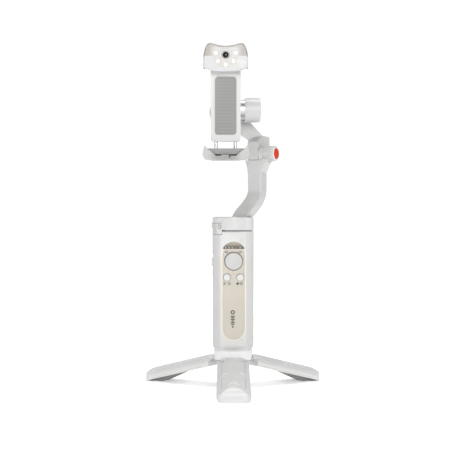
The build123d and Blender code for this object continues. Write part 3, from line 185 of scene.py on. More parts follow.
LOOKS = {
    "shell": plastic("shell", (0.555, 0.555, 0.55), 0.42),
    "leg": plastic("leg", (0.60, 0.597, 0.595), 0.42),
    # collar: painted light, a paler copy of the leg plastic for the lit collar
    "collar": plastic("collar", (0.78, 0.777, 0.775), 0.40),
    "arm": plastic("arm", (0.50, 0.50, 0.495), 0.40),
    # jaw: the lower jaw's lip in painted shadow, a darker copy of the pale plastic
    "jaw": plastic("jaw", (0.27, 0.265, 0.255), 0.42),
    # jaw_notch_shade: painted shade for the recessed channel in the lip's notch
    "jaw_notch_shade": plastic("jaw_notch_shade", (0.27, 0.265, 0.255), 0.50),
    # ridge: painted highlight, a paler copy of the leg plastic for the legs' raised ticks and
    # chevrons
    "ridge": plastic("ridge", (0.80, 0.80, 0.79), 0.40),
    # edge_shade_line: painted shade along the legs' lower edges
    "edge_shade_line": plastic("edge_shade_line", (0.56, 0.54, 0.50), 0.45),
    "sensor_shell": plastic("sensor_shell", (0.515, 0.515, 0.52), 0.38),
    "panel": plastic("panel", (0.52, 0.478, 0.415), 0.50),
    "trim": plastic("trim", (0.70, 0.655, 0.565), 0.35, coat=0.2),
    "buttons": plastic("buttons", (0.60, 0.60, 0.592), 0.40),
    "stick": plastic("stick", (0.50, 0.50, 0.492), 0.45),
    "window": plastic("window", (0.10, 0.085, 0.068), 0.22, grain=0.0, coat=0.5),
    "light": plastic("light", (0.9, 0.9, 0.88), 0.25, grain=0.02),
    "status": plastic("status", (0.36, 0.34, 0.31), 0.30, grain=0.02),
    "diffuser": plastic("diffuser", (0.50, 0.475, 0.42), 0.35, grain=0.05),
    "lens": plastic("lens", (0.004, 0.004, 0.005), 0.16, grain=0.0),
    # lens_glint: painted highlight, a grey-blue spot on the black lens
    "lens_glint": plastic("lens_glint", (0.10, 0.12, 0.14), 0.15, grain=0.0, coat=0.8),
    "lens_cone": plastic("lens_cone", (0.36, 0.335, 0.31), 0.42, grain=0.05),
    "lens_line": plastic("lens_line", (0.36, 0.35, 0.35), 0.45, grain=0.05),
    "print": plastic("print", (0.05, 0.045, 0.04), 0.55, grain=0.04),
    "release": plastic("release", (0.56, 0.030, 0.002), 0.50),
    "foot": plastic("foot", (0.20, 0.20, 0.197), 0.65, grain=0.35, grain_scale=RUBBER_GRAIN),
    "rubber": plastic("rubber", (0.10, 0.10, 0.098), 0.72, grain=0.35, grain_scale=RUBBER_GRAIN),
    "gasket": plastic("gasket", (0.27, 0.27, 0.265), 0.70, grain=0.25, grain_scale=RUBBER_GRAIN),
    "pad": plastic("pad", (0.27, 0.27, 0.265), 0.75, grain=0.45, grain_scale=1500.0),
    # recess_shade: painted shade in grooves, slots, screw seats, cap rings and the panel's shadow
    # line
    "recess_shade": plastic("recess_shade", (0.46, 0.455, 0.445), 0.60, grain=0.2),
    "steel": plastic("steel", (0.55, 0.55, 0.56), 0.28, metallic=1.0),
    "rotor": plastic("rotor", (0.50, 0.50, 0.51), 0.36, metallic=1.0),
    "winding": plastic("winding", (0.45, 0.19, 0.07), 0.35, metallic=1.0, grain=0.5),
    "brass": plastic("brass", (0.62, 0.44, 0.18), 0.30, metallic=1.0),
    "board": plastic("board", (0.02, 0.10, 0.05), 0.45),
    "module": plastic("module", (0.06, 0.06, 0.062), 0.50),
    "battery": plastic("battery", (0.05, 0.14, 0.27), 0.35, grain=0.04),
}
for look, strength in (("light", 0.12), ("status", 0.03)):
    glow = LOOKS[look].node_tree.nodes["Principled BSDF"]
    glow.inputs["Emission Color"].default_value = (1.0, 0.99, 0.96, 1.0)
    glow.inputs["Emission Strength"].default_value = strength


def tint(look, color, axis, start, end, centre=0.0):
    """Blends a look's colour towards another along an object axis, by distance from a centre."""
    tree = LOOKS[look].node_tree
    shader = tree.nodes["Principled BSDF"]
    under = shader.inputs["Base Color"].links[0].from_socket
    place = tree.nodes.new("ShaderNodeTexCoord")
    parts = tree.nodes.new("ShaderNodeSeparateXYZ")
    away = node_of(tree, "ShaderNodeMath", operation="SUBTRACT")
    away.inputs[1].default_value = centre * MM
    size = node_of(tree, "ShaderNodeMath", operation="ABSOLUTE")
    amount = node_of(tree, "ShaderNodeMapRange", interpolation_type="SMOOTHSTEP")
    amount.inputs["From Min"].default_value = start * MM
    amount.inputs["From Max"].default_value = end * MM
    mix = tree.nodes.new("ShaderNodeMixRGB")
    mix.inputs["Color2"].default_value = (*color, 1.0)
    tree.links.new(place.outputs["Object"], parts.inputs["Vector"])
    tree.links.new(parts.outputs[axis], away.inputs[0])
    tree.links.new(away.outputs["Value"], size.inputs[0])
    tree.links.new(size.outputs["Value"], amount.inputs["Value"])
    tree.links.new(amount.outputs["Result"], mix.inputs["Fac"])
    tree.links.new(under, mix.inputs["Color1"])
    tree.links.new(mix.outputs["Color"], shader.inputs["Base Color"])
    return amount, mix


SENSOR_X = -7.0
SENSOR_TINT_LINE = 307.7
# status window: painted reflection of the beige panel, pale at the top, dark above the lights
tint("window", (0.35, 0.31, 0.25), "Z", 130.8, 135.4)
# sensor: painted shade, darker beige above the tint line, strongest towards the rounded sides
SHOULDER_SHADE = (0.34, 0.31, 0.28)
side_amount, side_mix = tint("sensor_shell", SHOULDER_SHADE, "X", 8.5, 16.5, centre=SENSOR_X)
sensor_tree = LOOKS["sensor_shell"].node_tree
sensor_place = sensor_tree.nodes.new("ShaderNodeTexCoord")
sensor_parts = sensor_tree.nodes.new("ShaderNodeSeparateXYZ")
above = sensor_tree.nodes.new("ShaderNodeMapRange")
above.inputs["From Min"].default_value = (SENSOR_TINT_LINE - 0.15) * MM
above.inputs["From Max"].default_value = (SENSOR_TINT_LINE + 0.15) * MM
both = node_of(sensor_tree, "ShaderNodeMath", operation="MULTIPLY")
sensor_tree.links.new(sensor_place.outputs["Object"], sensor_parts.inputs["Vector"])
sensor_tree.links.new(sensor_parts.outputs["Z"], above.inputs["Value"])
sensor_tree.links.new(above.outputs["Result"], both.inputs[0])
sensor_tree.links.new(side_amount.outputs["Result"], both.inputs[1])
sensor_tree.links.new(both.outputs["Value"], side_mix.inputs["Fac"])
# painted shade: darker beige towards the sensor's rounded top edge
tint("sensor_shell", (0.36, 0.33, 0.30), "Z", 314.0, 318.5)

for look, level in (("lens", 0.15), ("release", 0.15)):
    glossy = LOOKS[look].node_tree.nodes["Principled BSDF"]
    glossy.inputs["Specular IOR Level"].default_value = level
# painted shadow: lip of the lower jaw, darker in the middle
tint("jaw", (0.42, 0.42, 0.41), "X", 6.0, 17.0, centre=-7.6)

SLOT_OF = {part["node"]: part["material_slot"] for part in frame["record"]["subparts"]}


def dress(obj, slot):
    """Gives an object the look of a material slot."""
    obj.data.materials.clear()
    obj.data.materials.append(LOOKS[slot])


EDGE_WIDTH = 0.00018


def soften(obj, width, angle=32.0):
    """Small rounded edges and smooth curved faces, by modifiers only."""
    for polygon in obj.data.polygons:
        polygon.use_smooth = True
    weld = obj.modifiers.new("weld", "WELD")
    weld.merge_threshold = 2e-6
    bevel = obj.modifiers.new("edges", "BEVEL")
    bevel.limit_method = "ANGLE"
    bevel.angle_limit = math.radians(angle)
    bevel.width = width
    bevel.segments = 2
    bevel.use_clamp_overlap = True
    normals = obj.modifiers.new("normals", "WEIGHTED_NORMAL")
    normals.keep_sharp = True


LOOK_OF = {
    "neck_gasket": "gasket",
    "lower_jaw_pad": "pad",
    "upper_jaw_pad": "pad",
    "back_pad": "pad",
    "status_leds": "status",
    "lower_jaw": "jaw",
    "joystick_cap": "stick",
    "tripod_collar": "collar",
    "leg_front": "leg",
    "leg_left": "leg",
    "leg_right": "leg",
    "foot_front": "foot",
    "foot_left": "foot",
    "foot_right": "foot",
}
for name, obj in nodes.items():
    dress(obj, LOOK_OF.get(name, SLOT_OF[name]))
    soften(obj, EDGE_WIDTH)

# ---------------------------------------------------------------- shape helpers
SHARP = math.radians(35)


class Face:
    """Flat frame in millimetres: local u and v in the face, w along its outward normal."""

    def __init__(self, origin, across, up):
        self.origin = Vector(origin)
        self.across = Vector(across).normalized()
        self.up = Vector(up).normalized()
        self.out = self.across.cross(self.up)

    def at(self, u, v, w=0.0):
        return self.origin + self.across * u + self.up * v + self.out * w


def facing_front(y):
    """Face at depth y, seen from the front: u is X, v is Z."""
    return Face((0, y, 0), (1, 0, 0), (0, 0, 1))


def join(parts):
    """One list of corners and faces from several."""
    verts = []
    faces = []
    for part_verts, part_faces in parts:
        base = len(verts)
        verts += part_verts
        faces += [[base + i for i in face] for face in part_faces]
    return verts, faces


def piece(name, shape, body, slot, look=None, edge=0.0):
    """Adds a mesh piece on a body, with smooth faces and sharp corners over 35 degrees."""
    verts, faces = shape
    mesh = bpy.data.meshes.new(name)
    mesh.from_pydata([v * MM for v in verts], [], faces)
    build = bmesh.new()
    build.from_mesh(mesh)
    bmesh.ops.remove_doubles(build, verts=build.verts, dist=1e-7)
    bmesh.ops.recalc_face_normals(build, faces=build.faces)
    build.to_mesh(mesh)
    build.free()
    for polygon in mesh.polygons:
        polygon.use_smooth = True
    mesh.set_sharp_from_angle(angle=SHARP)
    mesh.materials.append(LOOKS[look or slot])
    obj = bpy.data.objects.new(name, mesh)
    bpy.context.scene.collection.objects.link(obj)
    if edge:
        bevel = obj.modifiers.new("edges", "BEVEL")
        bevel.limit_method = "ANGLE"
        bevel.angle_limit = SHARP
        bevel.width = edge * MM
        bevel.segments = 2
    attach(obj, body)
    return obj


def lathe(face, u, v, profile, segments=48):
    """Turned shape round a face's normal; the (radius, w) profile closes unless on the axis."""
    verts = []
    faces = []
    on_axis = profile[0][0] == 0 and profile[-1][0] == 0
    rings = []
    for radius, w in profile:
        if radius == 0:
            rings.append([len(verts)])
            verts.append(face.at(u, v, w))
            continue
        loop = []
        for step in range(segments):
            turn = 2 * math.pi * step / segments
            loop.append(len(verts))
            verts.append(face.at(u + radius * math.cos(turn), v + radius * math.sin(turn), w))
        rings.append(loop)
    pairs = list(zip(rings, rings[1:]))
    if not on_axis:
        pairs.append((rings[-1], rings[0]))
    for low, high in pairs:
        for step in range(segments):
            after = (step + 1) % segments
            corners = [low[step % len(low)], low[after % len(low)]]
            corners += [high[after % len(high)], high[step % len(high)]]
            corners = list(dict.fromkeys(corners))
            if len(corners) > 2:
                faces.append(corners)
    return verts, faces


def prism(face, outline, low, high):
    """Upright walls on an outline in a face, closed above and below."""
    count = len(outline)
    verts = [face.at(u, v, low) for u, v in outline] + [face.at(u, v, high) for u, v in outline]
    faces = [list(range(count))[::-1], list(range(count, 2 * count))]
    for i in range(count):
        faces.append([i, (i + 1) % count, count + (i + 1) % count, count + i])
    return verts, faces


def pill(u, v, width, height, steps=8):
    """Outline of a bar with round ends."""
    radius = min(width, height) / 2
    outline = []
    for cu, cv, start in (
        (u + width / 2 - radius, v + height / 2 - radius, 0),
        (u - width / 2 + radius, v + height / 2 - radius, 90),
        (u - width / 2 + radius, v - height / 2 + radius, 180),
        (u + width / 2 - radius, v - height / 2 + radius, 270),
    ):
        for step in range(steps + 1):
            turn = math.radians(start + 90 * step / steps)
            outline.append((cu + radius * math.cos(turn), cv + radius * math.sin(turn)))
    return outline


def bead(points, normals, width, height, sink=0.15):
    """Low rounded ridge along points on a surface."""
    verts = []
    faces = []
    half = [(0.18, height), (0.42, 0.55 * height), (0.5, -sink)]
    section = [(-share, rise) for share, rise in reversed(half)] + half
    count = len(section)
    for i, point in enumerate(points):
        ahead = points[min(i + 1, len(points) - 1)] - points[max(i - 1, 0)]
        side = ahead.cross(normals[i]).normalized()
        for share, rise in section:
            verts.append(point + side * share * width + normals[i] * rise)
    for i in range(len(points) - 1):
        for k in range(count):
            after = (k + 1) % count
            here, there = i * count, (i + 1) * count
            faces.append([here + k, here + after, there + after, there + k])
    faces.append(list(range(count)))
    last = (len(points) - 1) * count
    faces.append([last + k for k in range(count)][::-1])
    return verts, faces


def between(start, end, steps):
    """Even points from start to end, ends included."""
    return [tuple(a + (b - a) * i / steps for a, b in zip(start, end)) for i in range(steps + 1)]


def screw(face, u, v, radius):
    """Domed screw head with a dip in the middle."""
    side = [(0, -0.5), (radius * 0.98, -0.5), (radius, -0.02)]
    dome = [(radius * 0.9, 0.12), (radius * 0.55, 0.16), (radius * 0.5, 0.02), (0, -0.05)]
    return lathe(face, u, v, side + dome, 24)


def face_on(node, start, direction, hint=(0, 0, 1)):
    """Face on a node's surface, where a ray in millimetres first meets it."""
    mesh = nodes[node].data
    corners = [corner.co for corner in mesh.vertices]
    tree = BVHTree.FromPolygons(corners, [list(polygon.vertices) for polygon in mesh.polygons])
    place, normal, _, _ = tree.ray_cast(Vector(start) * MM, Vector(direction).normalized())
    across = Vector(hint).cross(normal)
    return Face(place / MM, across, normal.cross(across))


def facing_out(angle, z, radius):
    """Upright face that touches a cylinder round the handle's axis."""
    turn = math.radians(angle)
    out = Vector((math.cos(turn), math.sin(turn), 0))
    return Face(out * radius + Vector((0, 0, z)), (-out.y, out.x, 0), (0, 0, 1))


def frame_ring(face, u, v, width, height, rim, low, high, steps=10):
    """Raised rim on a bar outline with round ends."""
    outer = pill(u, v, width, height, steps)
    inner = pill(u, v, width - 2 * rim, height - 2 * rim, steps)
    count = len(outer)
    verts = [face.at(a, b, w) for w in (low, high) for line in (outer, inner) for a, b in line]
    faces = []
    for i in range(count):
        after = (i + 1) % count
        for a, b in ((0, 1), (1, 3), (3, 2), (2, 0)):
            faces.append([a * count + i, a * count + after, b * count + after, b * count + i])
    return verts, faces


def curved_plate(radius, rise, start, end, low, high, steps=14):
    """Plate that lies on a cylinder round the handle's axis, between two angles and two heights."""
    verts = []
    faces = []
    inner, outer = radius - 0.4, radius + rise
    section = ((inner, low), (outer, low), (outer, high), (inner, high))
    for step in range(steps + 1):
        turn = math.radians(start + (end - start) * step / steps)
        verts += [Vector((r * math.cos(turn), r * math.sin(turn), z)) for r, z in section]
    for step in range(steps):
        for k in range(4):
            after = (k + 1) % 4
            faces.append([step * 4 + k, step * 4 + after, step * 4 + 4 + after, step * 4 + 4 + k])
    faces += [[3, 2, 1, 0], [steps * 4 + k for k in range(4)]]
    return verts, faces


def smooth_line(points, steps):
    """Points on a smooth curve through the given ones."""
    ends = [points[0], *points, points[-1]]
    line = []
    for a, b, c, d in zip(ends, ends[1:], ends[2:], ends[3:]):
        for step in range(steps):
            t = step / steps
            bend = (2 * a - 5 * b + 4 * c - d) * t * t + (3 * b - a - 3 * c + d) * t**3
            line.append((2 * b + (c - a) * t + bend) / 2)
    return line + [points[-1]]


def ring(radius, width, low, high):
    """Closed profile of a flat ring for lathe."""
    return [(radius, low), (radius, high), (radius - width, high), (radius - width, low)]


def cap_screw(name, face, u, v, radius, body):
    """Screw with a hexagon socket in a shallow ring; the black socket is painted shade of its hollow
    and the darker ring painted shade round the head.
    """
    seat = lathe(face, u, v, ring(radius + 0.35, 0.4, -0.3, 0.05), 32)
    piece(f"{name}_seat", seat, body, "shell", "recess_shade")
    piece(name, screw(face, u, v, radius), body, "steel")
    reach = radius * 0.5
    turns = [k * math.pi / 3 for k in range(6)]
    socket = [(u + reach * math.cos(turn), v + reach * math.sin(turn)) for turn in turns]
    piece(f"{name}_socket", prism(face, socket, -0.2, 0.06), body, "rubber")


# ---------------------------------------------------------------- control panel
PANEL = facing_front(-14.8)
PANEL_X = 0.4
INK = (-0.05, 0.035)
UPPER_SIGN_Z = 126.8
SIGN_Z = 97.5
DIAMOND_X = 4.1
GRID_X = -7.9
MARK_X = -0.4
JOYSTICK_Z = 118.3
BUTTON_Z = 103.2
BUTTON_OUT = 6.2


def ring_mark(u, v, outer, inner):
    """Printed ring."""
    return lathe(PANEL, u, v, ring(outer, outer - inner, *INK), 32)


def bar_mark(u, v, width, height):
    """Printed bar with round ends."""
    return prism(PANEL, pill(u, v, width, height, 5), *INK)


# small signs above the joystick and under the buttons
upper_signs = []
for sign_x in (-6.4, 6.4):
    upper_signs.append(bar_mark(sign_x - 0.95, UPPER_SIGN_Z, 1.1, 1.5))
    upper_signs.append(bar_mark(sign_x + 0.85, UPPER_SIGN_Z + 0.4, 1.6, 0.55))
    upper_signs.append(bar_mark(sign_x + 0.85, UPPER_SIGN_Z - 0.4, 1.6, 0.55))
piece("panel_signs_upper", join(upper_signs), "handle", "window", "print")
diamond = [(1.5, 0), (0, 1.5), (-1.5, 0), (0, -1.5)]
lower_signs = [
    ring_mark(-3.7, SIGN_Z, 1.3, 0.8),
    ring_mark(7.4, SIGN_Z, 1.4, 0.95),
    prism(PANEL, [(DIAMOND_X + u, SIGN_Z + v) for u, v in diamond], *INK),
    bar_mark(7.4, SIGN_Z, 1.1, 0.5),
]
for column in (-0.85, 0.0, 0.85):
    for row in (-0.85, 0.0, 0.85):
        lower_signs.append(bar_mark(GRID_X + column, SIGN_Z + row, 0.6, 0.6))
piece("panel_signs_lower", join(lower_signs), "handle", "window", "print")
# generic upright mark: a ring, bars of different lengths and a dot
mark = [ring_mark(MARK_X, 71.0, 2.0, 1.0)]
for row, mark_width in enumerate((3.9, 3.3, 3.9, 2.6, 3.9, 3.3)):
    mark.append(bar_mark(MARK_X, 67.4 - 1.5 * row, mark_width, 1.0))
mark.append(bar_mark(MARK_X, 57.6, 1.7, 1.7))
piece("panel_mark", join(mark), "handle", "window", "print")
# fine shadow line inside the panel's trim
shadow_line = frame_ring(PANEL, PANEL_X, 90.35, 20.4, 89.3, 0.2, -0.05, 0.05, 24)
piece("panel_shadow_line", shadow_line, "handle", "trim", "recess_shade")
# rubber boot behind the joystick, seen through the gap round it
BOOT = facing_front(-11.9)
boot_profile = [(3.2, -0.5), (3.2, 0.0)]
for wave in range(1, 6):
    boot_profile.append((3.2 + wave * 1.0, 0.12 if wave % 2 else -0.12))
boot_profile += [(8.75, 0.0), (8.75, -0.5)]
boot = lathe(BOOT, PANEL_X, JOYSTICK_Z, boot_profile, 64)
piece("joystick_boot", boot, "handle", "rubber", "gasket")
SEAL = facing_front(-12.75)
for side_name, seal_x in (("left", PANEL_X - BUTTON_OUT), ("right", PANEL_X + BUTTON_OUT)):
    seal = lathe(SEAL, seal_x, BUTTON_Z, [(3.38, -0.4), (3.38, 0.0), (3.58, 0.0), (3.58, -0.4)])
    piece(f"button_seal_{side_name}", seal, "handle", "rubber", "gasket")

# ---------------------------------------------------------------- tracking sensor
SENSOR = facing_front(-20.2)
LENS_Z = 308.8
LIGHT_CIRCLE = 9.4
STOP_FACE = facing_front(-18.8)
STOP_OUT = 19.7
STOP_Z = 297.3
# profiles as (radius, height over the face)
LENS_RING = [(5.5, -1.15), (5.5, -0.1), (5.25, 0.1), (4.5, 0.1), (4.15, -0.15), (4.15, -1.15)]
LENS_CONE = [(4.13, -1.15), (4.13, -0.2), (3.9, -0.22), (2.75, -0.85), (2.65, -1.15)]
LENS_GLASS = [(0, -1.15), (2.62, -1.15), (2.62, -0.9), (2.2, -0.68)]
LENS_GLASS += [(1.6, -0.52), (0.8, -0.43), (0, -0.4)]
LENS_GLINT = [(0, -0.6), (0.5, -0.6), (0.45, -0.42), (0.25, -0.38), (0, -0.36)]
LENS_LINE = [(5.62, -0.1), (5.62, 0.03), (5.86, 0.03), (5.86, -0.1)]
STOP = [(0, -4.0), (0.85, -4.0), (0.95, -3.7), (0.95, -0.3), (0.7, 0.0), (0, 0.1)]


def lens_part(name, profile, segments, slot, look=None, off_x=0.0, off_z=0.0):
    """Turned piece round the lens's axis, or a little off it."""
    shape = lathe(SENSOR, SENSOR_X + off_x, LENS_Z + off_z, profile, segments)
    return piece(name, shape, "sensor", slot, look)


lens_ring = lens_part("lens_ring", LENS_RING, 72, "sensor_shell", "buttons")
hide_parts("sensor_lens")
lens_part("lens_cone", LENS_CONE, 72, "diffuser", "lens_cone")
lens_part("lens_glass", LENS_GLASS, 48, "lens")
# painted highlight: grey-blue spot a little off the lens's middle
lens_part("lens_glint", LENS_GLINT, 32, "lens", "lens_glint", off_x=-0.1, off_z=0.25)
lens_part("lens_line", LENS_LINE, 72, "sensor_shell", "lens_line")
for side_name, stop_x in (("left", SENSOR_X - STOP_OUT), ("right", SENSOR_X + STOP_OUT)):
    stop = lathe(STOP_FACE, stop_x, STOP_Z, STOP, 24)
    piece(f"sensor_stop_{side_name}", stop, "sensor", "rubber")

# rims that narrow the lights
light_rims = []
for angle in (-190, -140, -90, -40, 10):
    turn = math.radians(angle)
    rim_x = SENSOR_X + LIGHT_CIRCLE * math.cos(turn)
    rim_z = LENS_Z + LIGHT_CIRCLE * math.sin(turn)
    light_rims.append(lathe(SENSOR, rim_x, rim_z, ring(2.25, 0.75, -0.3, 0.12), 32))
piece("sensor_light_rims", join(light_rims), "sensor", "diffuser")

# painted shade: grey bead along the sensor's rounded shoulders, by distance from its middle and
# height
SENSOR_RIM = ((0, 316.7), (8, 317.9), (14.2, 319.5), (17.2, 317.8), (19.2, 312.8), (20.3, 307.0))
for rim_side in (-1, 1):
    rim_points = [Vector((SENSOR_X + rim_side * x, -19.95, z - 0.3)) for x, z in SENSOR_RIM]
    rim_line = smooth_line(rim_points, 6)
    rim_normals = []
    for i, point in enumerate(rim_line):
        ahead = rim_line[min(i + 1, len(rim_line) - 1)] - rim_line[max(i - 1, 0)]
        outward = Vector((0, -1, 0)).cross(ahead).normalized() * -rim_side
        rim_normals.append((outward + Vector((0, -0.8, 0))).normalized())
    side_name = "left" if rim_side < 0 else "right"
    piece(
        f"sensor_rim_{side_name}",
        bead(rim_line, rim_normals, 0.5, 0.05, 0.5),
        "sensor",
        "sensor_shell",
        "lens_line",
    )

# ---------------------------------------------------------------- status window
WINDOW = facing_front(-15.4)
WINDOW_LOW = 129.7
WINDOW_R = 11.5
WINDOW_MIDDLE = 124.8
window_start = math.asin((WINDOW_LOW - WINDOW_MIDDLE) / WINDOW_R)
window_outline = []
for step in range(33):
    turn = window_start + (math.pi - 2 * window_start) * step / 32
    window_x = PANEL_X + WINDOW_R * math.cos(turn)
    window_outline.append((window_x, WINDOW_MIDDLE + WINDOW_R * math.sin(turn)))
window_shape = prism(WINDOW, window_outline, -0.9, 0.1)
window_piece = piece("panel_window", window_shape, "handle", "window", edge=0.3)
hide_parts("status_window")
STATUS_Z = 130.75
STATUS_DOT = [(0, -0.3), (0.62, -0.3), (0.6, 0.13), (0.3, 0.2), (0, 0.22)]
status_dots = [lathe(WINDOW, x, STATUS_Z, STATUS_DOT, 24) for x in (-7.0, -3.85, -0.8, 6.5)]
window_lights = piece("panel_window_lights", join(status_dots), "handle", "light", "status")
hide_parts("status_leds")

# ---------------------------------------------------------------- handle and latch
# sloped skirt that closes the crease between the handle's rounded foot and the tripod's collar
SKIRT_STEPS = 96
SKIRT_LOW_R = 17.74
SKIRT_LOW = 35.22
SKIRT_HIGH_R = 17.9
SKIRT_HIGH = 36.45
FACET_Y = -14.5
FACET_HIGH = 37.3
skirt_turns = [2 * math.pi * step / SKIRT_STEPS for step in range(SKIRT_STEPS)]
skirt_verts = [
    Vector((SKIRT_LOW_R * math.cos(turn), SKIRT_LOW_R * math.sin(turn), SKIRT_LOW))
    for turn in skirt_turns
]
for turn in skirt_turns:
    skirt_y = SKIRT_HIGH_R * math.sin(turn)
    skirt_z = FACET_HIGH if skirt_y < FACET_Y else SKIRT_HIGH
    skirt_verts.append(Vector((SKIRT_HIGH_R * math.cos(turn), max(skirt_y, FACET_Y), skirt_z)))
skirt_faces = [list(range(SKIRT_STEPS)), list(range(SKIRT_STEPS, 2 * SKIRT_STEPS))[::-1]]
for i in range(SKIRT_STEPS):
    after = (i + 1) % SKIRT_STEPS
    skirt_faces.append([i, after, SKIRT_STEPS + after, SKIRT_STEPS + i])
piece("handle_foot_skirt", (skirt_verts, skirt_faces), "handle", "shell", "leg")
HANDLE_R = 19.3
TAB_RISE = 0.35
# painted light: the tab is in the paler buttons plastic so that it reads lighter than the handle
tab_plate = curved_plate(HANDLE_R, TAB_RISE, -142.8, -125.4, 143.3, 153.1)
piece("latch_tab", tab_plate, "latch", "arm", "buttons", edge=0.3)
tab_face = facing_out(-130.3, 150.2, HANDLE_R + TAB_RISE)
tab_ring = frame_ring(tab_face, 0, 0, 3.5, 4.6, 0.5, -0.35, 0.1)
piece("latch_screw_ring", tab_ring, "latch", "arm", "gasket")
tab_screw = prism(tab_face, pill(0, 0, 2.4, 3.5, 6), -0.35, 0.06)
piece("latch_screw", tab_screw, "latch", "arm", "buttons", edge=0.15)
# painted shade in the screw's slot
tab_slot = prism(tab_face, pill(0, 0, 0.45, 2.3, 4), -0.1, 0.1)
piece("latch_screw_slot", tab_slot, "latch", "rubber", "recess_shade")
ZOOM_ANGLE = -163.5
zoom_in = facing_out(ZOOM_ANGLE, 126.9, HANDLE_R)
zoom_out = facing_out(ZOOM_ANGLE, 107.1, HANDLE_R)
zoom_signs = [
    prism(zoom_in, pill(0, 0, 2.6, 0.5, 4), -0.12, 0.04),
    prism(zoom_in, pill(0, 0, 0.5, 2.6, 4), -0.12, 0.045),
    prism(zoom_out, pill(0, 0, 2.6, 0.5, 4), -0.12, 0.04),
]
piece("zoom_signs", join(zoom_signs), "handle", "window", "gasket")
usb_face = facing_out(0.0, 62.0, HANDLE_R)
piece("usb_surround", frame_ring(usb_face, 0, 0, 5.4, 11.2, 0.7, -0.5, 0.08), "handle", "trim")

# ---------------------------------------------------------------- legs
LEG_FALL = math.tan(math.radians(14.7))
LEG_CROWN_R = 18.3
LEG_DEPTH = 11.4
LEG_ROOT = 18.6
LEG_ROOT_TOP = 30.6
GROOVE_OUT = 10.6
GROOVE_SPANS = ((27.3, 49.7), (58.8, 82.7))
EDGE_SPAN = (24.0, 82.0)


def on_leg(turn, out, across):
    """Point on a leg's crown, and the normal there."""
    along = Vector((math.cos(turn), math.sin(turn), 0))
    sideways = Vector((-math.sin(turn), math.cos(turn), 0))
    reach = math.sqrt(LEG_CROWN_R**2 - across**2)
    height = LEG_ROOT_TOP - (out - LEG_ROOT) * LEG_FALL - LEG_CROWN_R + reach
    normal = along * LEG_FALL + sideways * (across / reach) + Vector((0, 0, 1))
    return along * out + sideways * across + Vector((0, 0, height)), normal.normalized()


def leg_lines(turn, spans, width, height, sink):
    """Beads on a leg's crown between pairs of (out, across)."""
    beads = []
    for start, end in spans:
        spots, normals = zip(*[on_leg(turn, *spot) for spot in between(start, end, 12)])
        beads.append(bead(spots, normals, width, height, sink))
    return join(beads)


def leg_edge(turn, side):
    """Bead along the lower edge of a leg's side, in beige: painted shade of the shell's lower edge.
    """
    along = Vector((math.cos(turn), math.sin(turn), 0))
    sideways = Vector((-math.sin(turn), math.cos(turn), 0)) * side
    line = []
    for step in range(13):
        out = EDGE_SPAN[0] + (EDGE_SPAN[1] - EDGE_SPAN[0]) * step / 12
        half = 14.6 + 0.5 * (out - 8.0) / 88.0
        low = LEG_ROOT_TOP - (out - LEG_ROOT) * LEG_FALL - LEG_DEPTH
        line.append(along * out + sideways * (half - 0.6) + Vector((0, 0, low + 1.3)))
    normal = (sideways * 2.2 - Vector((0, 0, 1.5))).normalized()
    return bead(line, [normal] * len(line), 1.3, 0.06, 0.4)


for leg_body, leg_angle in (("front_leg", -90.0), ("right_leg", 30.0), ("left_leg", 150.0)):
    leg_turn = math.radians(leg_angle)
    groove_sides = (-GROOVE_OUT, GROOVE_OUT)
    grooves = [((start, side), (end, side)) for side in groove_sides for start, end in GROOVE_SPANS]
    # painted shade: sunk beads in the darker recess plastic along the leg's grooves
    groove_beads = leg_lines(leg_turn, grooves, 0.62, -0.1, 0.5)
    piece(f"{leg_body}_grooves", groove_beads, leg_body, "shell", "recess_shade")
    ticks = [((54.2, side * 5.0), (54.2, side * 9.4)) for side in (-1, 1)]
    chevron = [((76.2, 0.0), (80.6, side * 4.6)) for side in (-1, 1)]
    # painted highlight: ticks and chevron in the paler ridge plastic
    ridges = leg_lines(leg_turn, ticks + chevron, 0.8, 0.25, 0.3)
    piece(f"{leg_body}_ridges", ridges, leg_body, "shell", "ridge")
    edges = join([leg_edge(leg_turn, side) for side in (-1, 1)])
    piece(f"{leg_body}_edges", edges, leg_body, "shell", "edge_shade_line")

# ---------------------------------------------------------------- clamp, arms and motors
# dark plate on the lip's centre notch: painted shade of the recessed channel behind it
JAW_NOTCH_SHADE = [(-11.3, 212.6), (-3.9, 212.6), (-3.9, 216.9), (-11.3, 216.9)]
jaw_shape = prism(facing_front(-18.5), JAW_NOTCH_SHADE, -0.9, 0.06)
piece("jaw_notch_shade_plate", jaw_shape, "sliding_jaw", "arm", "jaw_notch_shade", edge=0.2)
pad_face = facing_front(-8.0)
pad_ribs = [prism(pad_face, pill(-7.0, z, 17.0, 0.9, 4), -0.2, 0.16) for z in range(239, 289, 3)]
piece("back_pad_ribs", join(pad_ribs), "clamp", "rubber", "pad")
MOTOR_Z = 260.6
FACING_BACK = Face((0, 42.2, 0), (-1, 0, 0), (0, 0, 1))
FACING_RIGHT = Face((25.8, 0, 0), (0, 1, 0), (0, 0, 1))
for motor, motor_face, motor_u, motor_r, motor_body in (
    ("roll", FACING_BACK, 7.0, 13.4, "roll_arm"),
    ("tilt", FACING_RIGHT, 5.5, 9.3, "tilt_bracket"),
):
    # painted shade: darker ring in the cap's groove
    cap_ring = lathe(motor_face, motor_u, MOTOR_Z, ring(motor_r * 0.86, 0.5, -0.2, 0.12), 72)
    piece(f"{motor}_cap_ring", cap_ring, motor_body, "arm", "recess_shade")
    dish = motor_r * 0.62
    profile = [(0, -0.2), (dish, -0.2), (dish, 0.1)]
    profile += [(dish - 0.5, 0.32), (dish * 0.6, 0.22), (0, 0.16)]
    cap_disc = lathe(motor_face, motor_u, MOTOR_Z, profile, 72)
    piece(f"{motor}_cap_disc", cap_disc, motor_body, "arm", "shell")
